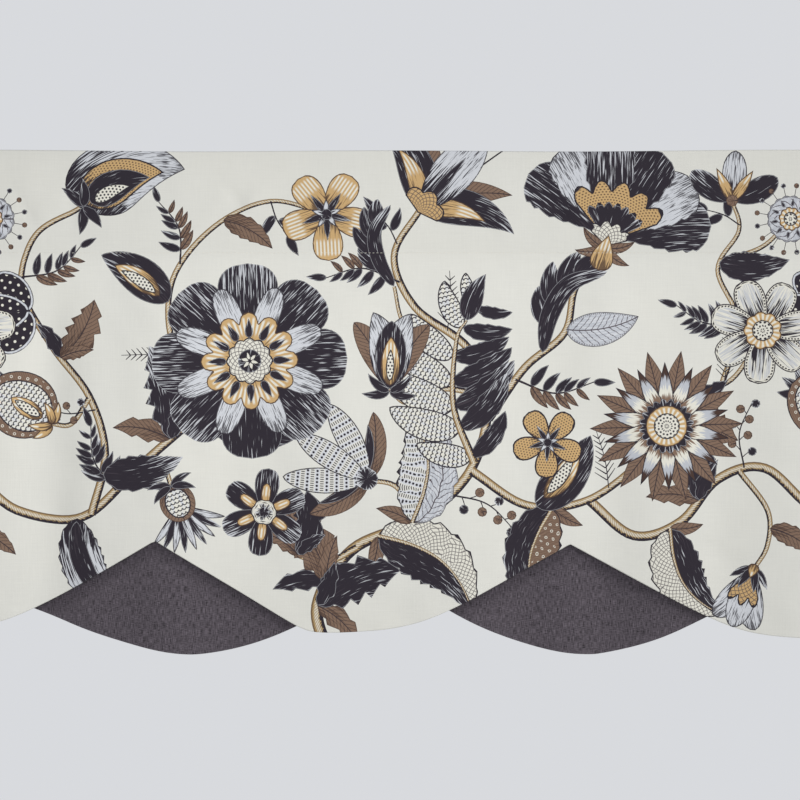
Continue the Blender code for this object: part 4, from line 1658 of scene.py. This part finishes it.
def spotted(paint, ink):
    """Gold with small brown dots and a bold dark outline."""
    colour = paint.mix(ink.dots(2.3, 0.62) * ink.edge.over(1.6, 0.2) * 0.85, GOLD, DEEP_BROWN)
    foot = (ink.streaks() + (0.42 - ink.s) * 0.6).over(0.62, 0.05)
    colour = paint.mix(foot * 0.9, colour, DARK)
    return paint.mix(ink.outline(1.0), colour, DARK)


def dashed(paint, ink):
    """White with a row of dark dashes inside its edge, a dark feathered foot and a dark outline."""
    row = (ink.edge - 2.0).size().under(0.62, 0.15) * (ink.along * 0.5).stripe(1.3, 0.75)
    foot = (ink.streaks() + (0.66 - ink.s) * 0.55).over(0.60, 0.05) * ink.edge.over(3.2, 0.3)
    veil = ink.streaks(0.7, 0.05, 3.0).over(0.50, 0.1) * ink.edge.over(3.2, 0.2) * 0.8
    colour = paint.mix(veil, CREAM, GREY_BLUE)
    colour = paint.mix(foot.either(row), colour, DARK)
    return paint.mix(ink.outline(0.72), colour, DARK)


def knotted(paint, ink):
    """Pale with bands across it, in turn of round dots and of short dashes, and a dark outline."""
    band, column = 4.2, 3.2
    odd = ((ink.along / band).floor() * 0.5).saw().over(0.25, 0.01)
    v, u = ((ink.along / band).saw() - 0.5) * band, ((ink.across / column).saw() - 0.5) * column
    spot = (u * u + v * v).root().under(1.05, 0.2)
    dash = v.size().under(1.5, 0.2) * ((ink.across / 1.9).saw() - 0.5).size().under(0.20, 0.08)
    marks = spot * (1.0 - odd) + dash * odd
    colour = paint.mix(marks * ink.edge.over(0.9, 0.2), paint.mix(odd * 0.7, PALE, CREAM), DARK)
    return paint.mix(ink.outline(0.7), colour, DARK)


def ringed(paint, ink):
    """Brown, finely hatched, with small cream rings and a dark outline."""
    hatch = (ink.along + ink.across * 0.3).stripe(1.5, 0.6) * 0.45
    rings = ink.dots(6.0, 1.25) - ink.dots(6.0, 0.72)
    colour = paint.mix(hatch, BROWN, DEEP_BROWN)
    colour = paint.mix(rings * ink.edge.over(2.0, 0.3), colour, CREAM)
    return paint.mix(ink.outline(0.65), colour, DARK)


def banded(paint, ink):
    """Bands of grey, cream and brown along a petal, feathered into each other."""
    way = ink.s + (ink.streaks() - 0.5) * 0.34
    colour = paint.mix(way.over(0.30, 0.04), SOFT_DARK, BROWN)
    colour = paint.mix(way.over(0.46, 0.03), colour, CREAM)
    colour = paint.mix(way.over(0.60, 0.03), colour, GREY_BLUE)
    colour = paint.mix(way.over(0.76, 0.04), colour, DEEP_BROWN)
    return paint.mix(ink.outline(0.6), colour, DARK)


def scales(paint, ink):
    """Grey with rows of dark arcs, like scales."""
    cell = 3.6
    row = (ink.along / cell).floor()
    u = ((ink.across / cell + row * 0.5).saw() - 0.5) * cell
    v = (ink.along / cell).saw() * cell
    arc = ((u * u + v * v).root() - 1.75).size().under(0.42, 0.2)
    colour = paint.mix(ink.streaks(0.6, 0.1).over(0.46, 0.15), PALE, CREAM)
    colour = paint.mix(arc, colour, DARK)
    return paint.mix(ink.outline(0.8), colour, DARK)


def cream(paint, ink):
    """Plain cream with a dark outline."""
    return paint.mix(ink.outline(0.4), CREAM, DARK)


def stem(paint, ink):
    """Gold brown with a light side, twisted hatching like cord, a thin brown edge and a dark ragged one."""
    twist = (ink.along + ink.across * 1.1 + ink.wobble).stripe(2.5, 0.95)
    light = (ink.t - 0.12 + ink.wobble * 0.4).size().under(0.34, 0.16)
    colour = paint.mix(twist * 0.6, STEM_GOLD, DEEP_GOLD)
    colour = paint.mix(light * (0.75 - twist * 0.55), colour, CREAM)
    colour = paint.mix(ink.t.over(0.74, 0.1) * 0.7, colour, DEEP_BROWN)
    return paint.mix((ink.t + ink.wobble * 0.9 - twist * 0.22).under(-0.50, 0.10), colour, DARK)


def line(paint, ink):
    """A thin dark line."""
    return paint.mix(ink.wobble.over(0.12, 0.1) * 0.3, DARK, SOFT_DARK)


# Every ink with the colour in which the cloth's back shows it
INKS = {
    night: DARK, frost: GREY_BLUE, honey: GOLD, bark: BROWN, mist: GREY_BLUE, lattice: GOLD, pips: CREAM,
    studded: DARK, spotted: GOLD, dashed: PALE, knotted: PALE, ringed: BROWN, banded: BROWN, scales: PALE,
    cream: CREAM, stem: STEM_GOLD, line: DARK,
}
INK_NAMED = {draw.__name__: draw for draw in INKS}
INK_SLOTS = {name: slot for slot, name in enumerate(INK_NAMED, start=1)}
REVERSE_SLOT = len(INKS) + 1


def ink_material(draw, bump):
    """The printed cloth where an ink covers it, with the painted shade in front of the pocket."""
    paint = Paint("ink_" + draw.__name__)
    return weave(paint, draw(paint, Ink(paint)), bump, lined=POCKET_SHADE)


def ground_material(name, tint, bump, lined=0.0):
    """Plain cream cloth, barely mottled, with as much painted shade in front of the pocket as given."""
    paint = Paint(name)
    x, _, z = paint.place()
    cloud = paint.noise(x * 9, z * 9, 1.0, detail=2.0)
    return weave(paint, paint.mix(cloud.over(0.5, 0.2) * 0.18, tint, CREAM), bump, lined=lined)


def reverse_material(name, tint, bump):
    """The back of the printed cloth: pale, with the print showing through unevenly."""
    paint = Paint(name)
    x, _, z = paint.place()
    cloud = paint.noise(x * 160, z * 160, 5.0, detail=2.0)
    print_colour = paint.node("Attribute", {"attribute_name": "through"}, out="Color")
    return weave(paint, paint.mix(0.16 + cloud * 0.26, tint, print_colour), bump)


def charcoal_material(name, bump):
    """Charcoal slub cloth: light and dark threads both ways, and a painted shade that darkens it in a band
    below the panel's lower edge.
    """
    paint = Paint(name)
    x, _, z = paint.place()
    x, z = x * 1000, z * 1000
    warp = paint.noise(x * 2.1, z * 0.16, 2.0, detail=0.0)
    weft = paint.noise(x * 0.30, z * 1.9, 6.0, detail=0.0)
    fleck = paint.noise(x * 0.9, z * 0.4, 11.0, detail=0.0)
    threads = warp * 1.25 + weft * 1.0 + fleck * 0.12 - 1.185
    # Painted shade: a soft darker band reaching about 11 mm below the panel's lower edge, as if the panel and
    # its seam allowance kept the light off.
    down = paint.node("Attribute", {"attribute_name": "below_seam"}, out="Fac")
    seam = (down + (fleck - 0.5) * 3.0).under(11.0, 9.0)
    colour = paint.mix(seam * 0.62, CHARCOAL, CHARCOAL_PAINTED_SHADE)
    return weave(paint, paint.shade(colour, 1.0 + threads * 1.45), bump, thread=0.8, rough=0.9)


def thread_material(name, colour):
    """Twisted thread: fine slanting stripes."""
    paint = Paint(name)
    x, _, z = paint.place()
    lay = ((x + z) / MM).stripe(0.5, 0.25)
    return paint.finish({"Base Color": paint.mix(lay * 0.25, colour, STEM_GOLD), "Roughness": 0.7})


def floor_material():
    """A pale floor, barely clouded."""
    paint = Paint("pale_floor")
    x, y, _ = paint.place()
    cloud = paint.noise(x * 2, y * 2, 0.0, detail=3.0)
    colour = paint.mix(cloud, srgb(236, 236, 234), srgb(244, 244, 242))
    return paint.finish({"Base Color": colour, "Roughness": 0.7})


# What a user would change


class ClothLook(bpy.types.PropertyGroup):
    """The finish of the three cloths."""

    ground: FloatVectorProperty(
        name="Ground", description="Colour of the printed cloth between its motifs", default=GROUND,
        subtype="COLOR", size=4, min=0.0, max=1.0,
    )
    reverse: FloatVectorProperty(
        name="Reverse", description="Colour of the printed cloth's back and of the pocket strip",
        default=REVERSE, subtype="COLOR", size=4, min=0.0, max=1.0,
    )
    bump: FloatProperty(
        name="Weave", description="Strength of the weave's bump", default=0.16, subtype="FACTOR", min=0, max=1
    )


class StitchSizes(bpy.types.PropertyGroup):
    """The stitches of the pocket, the hems and the inserts."""

    length: FloatProperty(
        name="Stitch length", description="Length of one stitch on the face", default=2.6 * MM, unit="LENGTH",
        min=1 * MM,
    )
    spacing: FloatProperty(
        name="Stitch spacing", description="From one stitch to the next", default=3.4 * MM, unit="LENGTH",
        min=1.5 * MM,
    )
    hem_spacing: FloatProperty(
        name="Hem stitch spacing", description="From one stitch of the hems to the next", default=8 * MM,
        unit="LENGTH", min=3 * MM,
    )
    thickness: FloatProperty(
        name="Thread", description="Thickness of the thread", default=0.40 * MM, unit="LENGTH", min=0.1 * MM
    )


class Studio(bpy.types.PropertyGroup):
    """The camera and the lights."""

    view_width: FloatProperty(
        name="View width", description="Width of cloth in the camera's view", default=0.689, unit="LENGTH"
    )
    distance: FloatProperty(
        name="Distance", description="From the camera to the cloth", default=1.15, unit="LENGTH"
    )
    look_at: FloatVectorProperty(
        name="Middle", description="Place on the cloth in the middle of the view",
        default=(0.209, 0.0, -0.2155), subtype="TRANSLATION",
    )
    floor: FloatProperty(
        name="Floor", description="Height of the floor below the top edge", default=-1.05, unit="LENGTH"
    )
    key: FloatProperty(name="Key light", description="Power of the front light", default=1.85, unit="POWER")
    side: FloatProperty(
        name="Side light", description="Power of the light that shows the folds", default=28.0, unit="POWER"
    )
    back: FloatProperty(name="Back light", description="Power of the light behind", default=13, unit="POWER")
    top: FloatProperty(name="Top light", description="Power of the light above", default=0.8, unit="POWER")
    world: FloatProperty(name="Sky", description="Brightness of the pale surroundings", default=0.465)
    seen: FloatProperty(name="Backdrop", description="How much brighter the camera sees them", default=0.355)


# The pieces and the stage

FLOOR_HALF, FLOOR_PLACES = 1.3, 9
WARM, MILD, COOL = (1.0, 0.985, 0.955), (1.0, 0.99, 0.97), (0.97, 0.985, 1.0)


class VALANCE_OT_face_panel(bpy.types.Operator):
    """Cuts the printed face panel out of its print, with its hems turned to the back"""

    bl_idname = "valance.face_panel"
    bl_label = "Face panel"

    def execute(self, context):
        look = context.scene.valance_cloth
        mesh = panel_mesh("face_panel_cloth", [patch for patch in layout() if touches_panel(patch)])
        # The ground and the inks carry the painted shade in front of the pocket.
        mesh.materials.append(ground_material("printed_ground", look.ground, look.bump, lined=POCKET_SHADE))
        for draw in INKS:
            mesh.materials.append(ink_material(draw, look.bump))
        mesh.materials.append(reverse_material("printed_reverse", look.reverse, look.bump))
        area = float(WIDTH * PANEL_MEAN + PANEL_HEMS_AREA)
        flat = (WIDTH + 2 * SIDE_HEM, PANEL_FLAT)
        piece = new_piece("printed_face", mesh, flat, area)
        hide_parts("face_panel")
        return {"FINISHED"}


class VALANCE_OT_pocket_strip(bpy.types.Operator):
    """Makes the strip of cloth behind the heading: the back of the rod pocket"""

    bl_idname = "valance.pocket_strip"
    bl_label = "Pocket strip"

    def execute(self, context):
        look = context.scene.valance_cloth
        sizes = (STRIP_COLUMNS, STRIP_ROWS)
        mesh, _ = sheet_mesh("pocket_strip_cloth", strip_surface, *sizes, lambda u, v: STRIP_DEPTH)
        mesh.materials.append(ground_material("pocket_cloth", look.reverse, look.bump))
        flat = (STRIP_HIGH.x - STRIP_LOW.x, STRIP_FLAT)
        piece = new_piece("pocket_back", mesh, flat, None)
        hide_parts("pocket_strip")
        return {"FINISHED"}


class VALANCE_OT_inserts(bpy.types.Operator):
    """Makes the three charcoal inserts behind the peaks of the lower edge"""

    bl_idname = "valance.inserts"
    bl_label = "Inserts"

    def execute(self, context):
        cloth = charcoal_material("charcoal_cloth", context.scene.valance_cloth.bump * CHARCOAL_BUMP)
        sizes = (INSERT_COLUMNS, INSERT_ROWS)
        for insert in INSERTS:
            mesh, places = sheet_mesh(insert.name + "_cloth", insert_surface(insert), *sizes, insert_depth)
            # How far below the panel's lower edge each place lies, for the painted shade band; the back gets
            # the most, so it shows none.
            below = (lower_edge(places[:, 0]) - places[:, 2]) / MM
            below[(INSERT_COLUMNS + 1) * (INSERT_ROWS + 1) :] = below.max()
            give_attribute(mesh, "below_seam", "FLOAT", "POINT", below)
            mesh.materials.append(cloth)
            side = insert.name.replace("insert_", "")
            start, end = insert_ends(insert)
            flat, area = (end - start, INSERT_FLAT), INSERT_SHARE * (end - start) * INSERT_FLAT
            piece = new_piece("charcoal_" + side, mesh, flat, area)
            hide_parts(insert.name)
        return {"FINISHED"}


class VALANCE_OT_stitches(bpy.types.Operator):
    """Sews the pocket, the hems and the inserts"""

    bl_idname = "valance.stitches"
    bl_label = "Stitches"

    def execute(self, context):
        sizes = context.scene.valance_stitches
        pale, dark = thread_material("cream_thread", THREAD), thread_material("charcoal_thread", DARK_THREAD)
        sew("pocket_stitches", pale, sizes.thickness, pocket_rows(sizes))
        sew("hem_stitches", pale, sizes.thickness, hem_rows(sizes))
        for insert in INSERTS:
            name = insert.name.replace("insert", "seam")
            sew(name, dark, sizes.thickness, seam_rows(insert, sizes))
        return {"FINISHED"}


def make_floor(height):
    """A level square of quads."""
    across = np.linspace(-FLOOR_HALF, FLOOR_HALF, FLOOR_PLACES)
    x, y = np.meshgrid(across, across)
    verts = np.stack([x, y, np.full(x.shape, height)], axis=-1).reshape(-1, 3)
    index = np.arange(x.size).reshape(x.shape)
    quads = np.stack([index[:-1, :-1], index[:-1, 1:], index[1:, 1:], index[1:, :-1]], axis=-1)
    mesh = bpy.data.meshes.new("floor")
    mesh.from_pydata(verts.tolist(), [], quads.reshape(-1, 4).tolist())
    mesh.materials.append(floor_material())
    new_object("floor", mesh)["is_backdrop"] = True


def make_surroundings(studio):
    """Pale surroundings, which look brighter to the camera than they light the cloth."""
    world = bpy.data.worlds.new("pale_room")
    world.use_nodes = True
    nodes, links = world.node_tree.nodes, world.node_tree.links
    background = nodes["Background"]
    background.inputs["Color"].default_value = srgb(236, 238, 242)
    ray = nodes.new("ShaderNodeLightPath")
    strength = nodes.new("ShaderNodeMath")
    strength.operation = "MULTIPLY_ADD"
    strength.inputs[1].default_value, strength.inputs[2].default_value = studio.seen, studio.world
    links.new(ray.outputs["Is Camera Ray"], strength.inputs[0])
    links.new(strength.outputs[0], background.inputs["Strength"])
    bpy.context.scene.world = world
    bpy.context.scene.view_settings.view_transform = "Standard"


def make_light(name, place, aim, size, power, colour):
    """A rectangular light that faces what it is aimed at."""
    data = bpy.data.lights.new(name, "AREA")
    data.shape, data.energy, data.color = "RECTANGLE", power, colour
    data.size, data.size_y = size
    lamp = new_object(name, data)
    lamp.location = place
    lamp.rotation_euler = (aim - Vector(place)).to_track_quat("-Z", "Y").to_euler()


def make_camera(studio):
    """A level camera square to the cloth, as far away and as long as its view is wide."""
    camera = new_object("camera", bpy.data.cameras.new("camera"))
    camera.data.sensor_width = 36.0
    camera.data.lens = camera.data.sensor_width * studio.distance / studio.view_width
    camera.location = Vector(studio.look_at) - Vector((0, studio.distance, 0))
    camera.rotation_euler = (np.pi / 2, 0.0, 0.0)
    camera.data.clip_start = 0.05
    bpy.context.scene.camera = camera


class VALANCE_OT_stage(bpy.types.Operator):
    """Sets up the floor, the pale surroundings, the lights and the camera"""

    bl_idname = "valance.stage"
    bl_label = "Stage"

    def execute(self, context):
        studio = context.scene.valance_studio
        make_floor(studio.floor)
        make_surroundings(studio)
        middle = Vector(studio.look_at)
        near, behind = Vector((0.08, 0, -0.16)), middle - Vector((0.2, 0, 0))
        make_light("key_light", (0.08, -0.60, -0.16), near, (0.9, 0.25), studio.key, WARM)
        make_light("side_light", (2.60, -1.15, 0.45), middle, (0.6, 0.6), studio.side, WARM)
        make_light("back_light", (-0.30, 1.60, 0.25), behind, (1.2, 1.2), studio.back, MILD)
        make_light("top_light", (0.10, -0.75, 1.15), middle, (0.8, 0.8), studio.top, COOL)
        make_camera(studio)
        return {"FINISHED"}


class VALANCE_PT_sidebar(bpy.types.Panel):
    """The valance's sizes and colours, and a button for each piece"""

    bl_idname = "VALANCE_PT_sidebar"
    bl_label = "Window valance"
    bl_space_type = "VIEW_3D"
    bl_region_type = "UI"
    bl_category = "Valance"

    def draw(self, context):
        for name, group in GROUPS.items():
            box = self.layout.box()
            for field in group.__annotations__:
                box.prop(getattr(context.scene, name), field)
        for operator in OPERATORS:
            self.layout.operator(operator.bl_idname)


GROUPS = {"valance_cloth": ClothLook, "valance_stitches": StitchSizes, "valance_studio": Studio}
OPERATORS = (
    VALANCE_OT_stitches, VALANCE_OT_face_panel, VALANCE_OT_pocket_strip, VALANCE_OT_inserts, VALANCE_OT_stage
)
CLASSES = (*GROUPS.values(), *OPERATORS, VALANCE_PT_sidebar)


def register():
    """Registers every class, and gives the scene its settings."""
    for kind in CLASSES:
        bpy.utils.register_class(kind)
    for name, group in GROUPS.items():
        setattr(bpy.types.Scene, name, PointerProperty(type=group))


def unregister():
    """Takes back what register gave."""
    for name in GROUPS:
        delattr(bpy.types.Scene, name)
    for kind in reversed(CLASSES):
        bpy.utils.unregister_class(kind)


def main():
    """Makes the pieces and the stage."""
    register()
    bpy.ops.valance.stitches()
    bpy.ops.valance.face_panel()
    bpy.ops.valance.pocket_strip()
    bpy.ops.valance.inserts()
    bpy.ops.valance.stage()
    corners = {"cad": CAD_BOX, "visual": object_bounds()}
    plain = {name: [[float(v) for v in corner] for corner in box] for name, box in corners.items()}


if __name__ == "__main__":
    main()
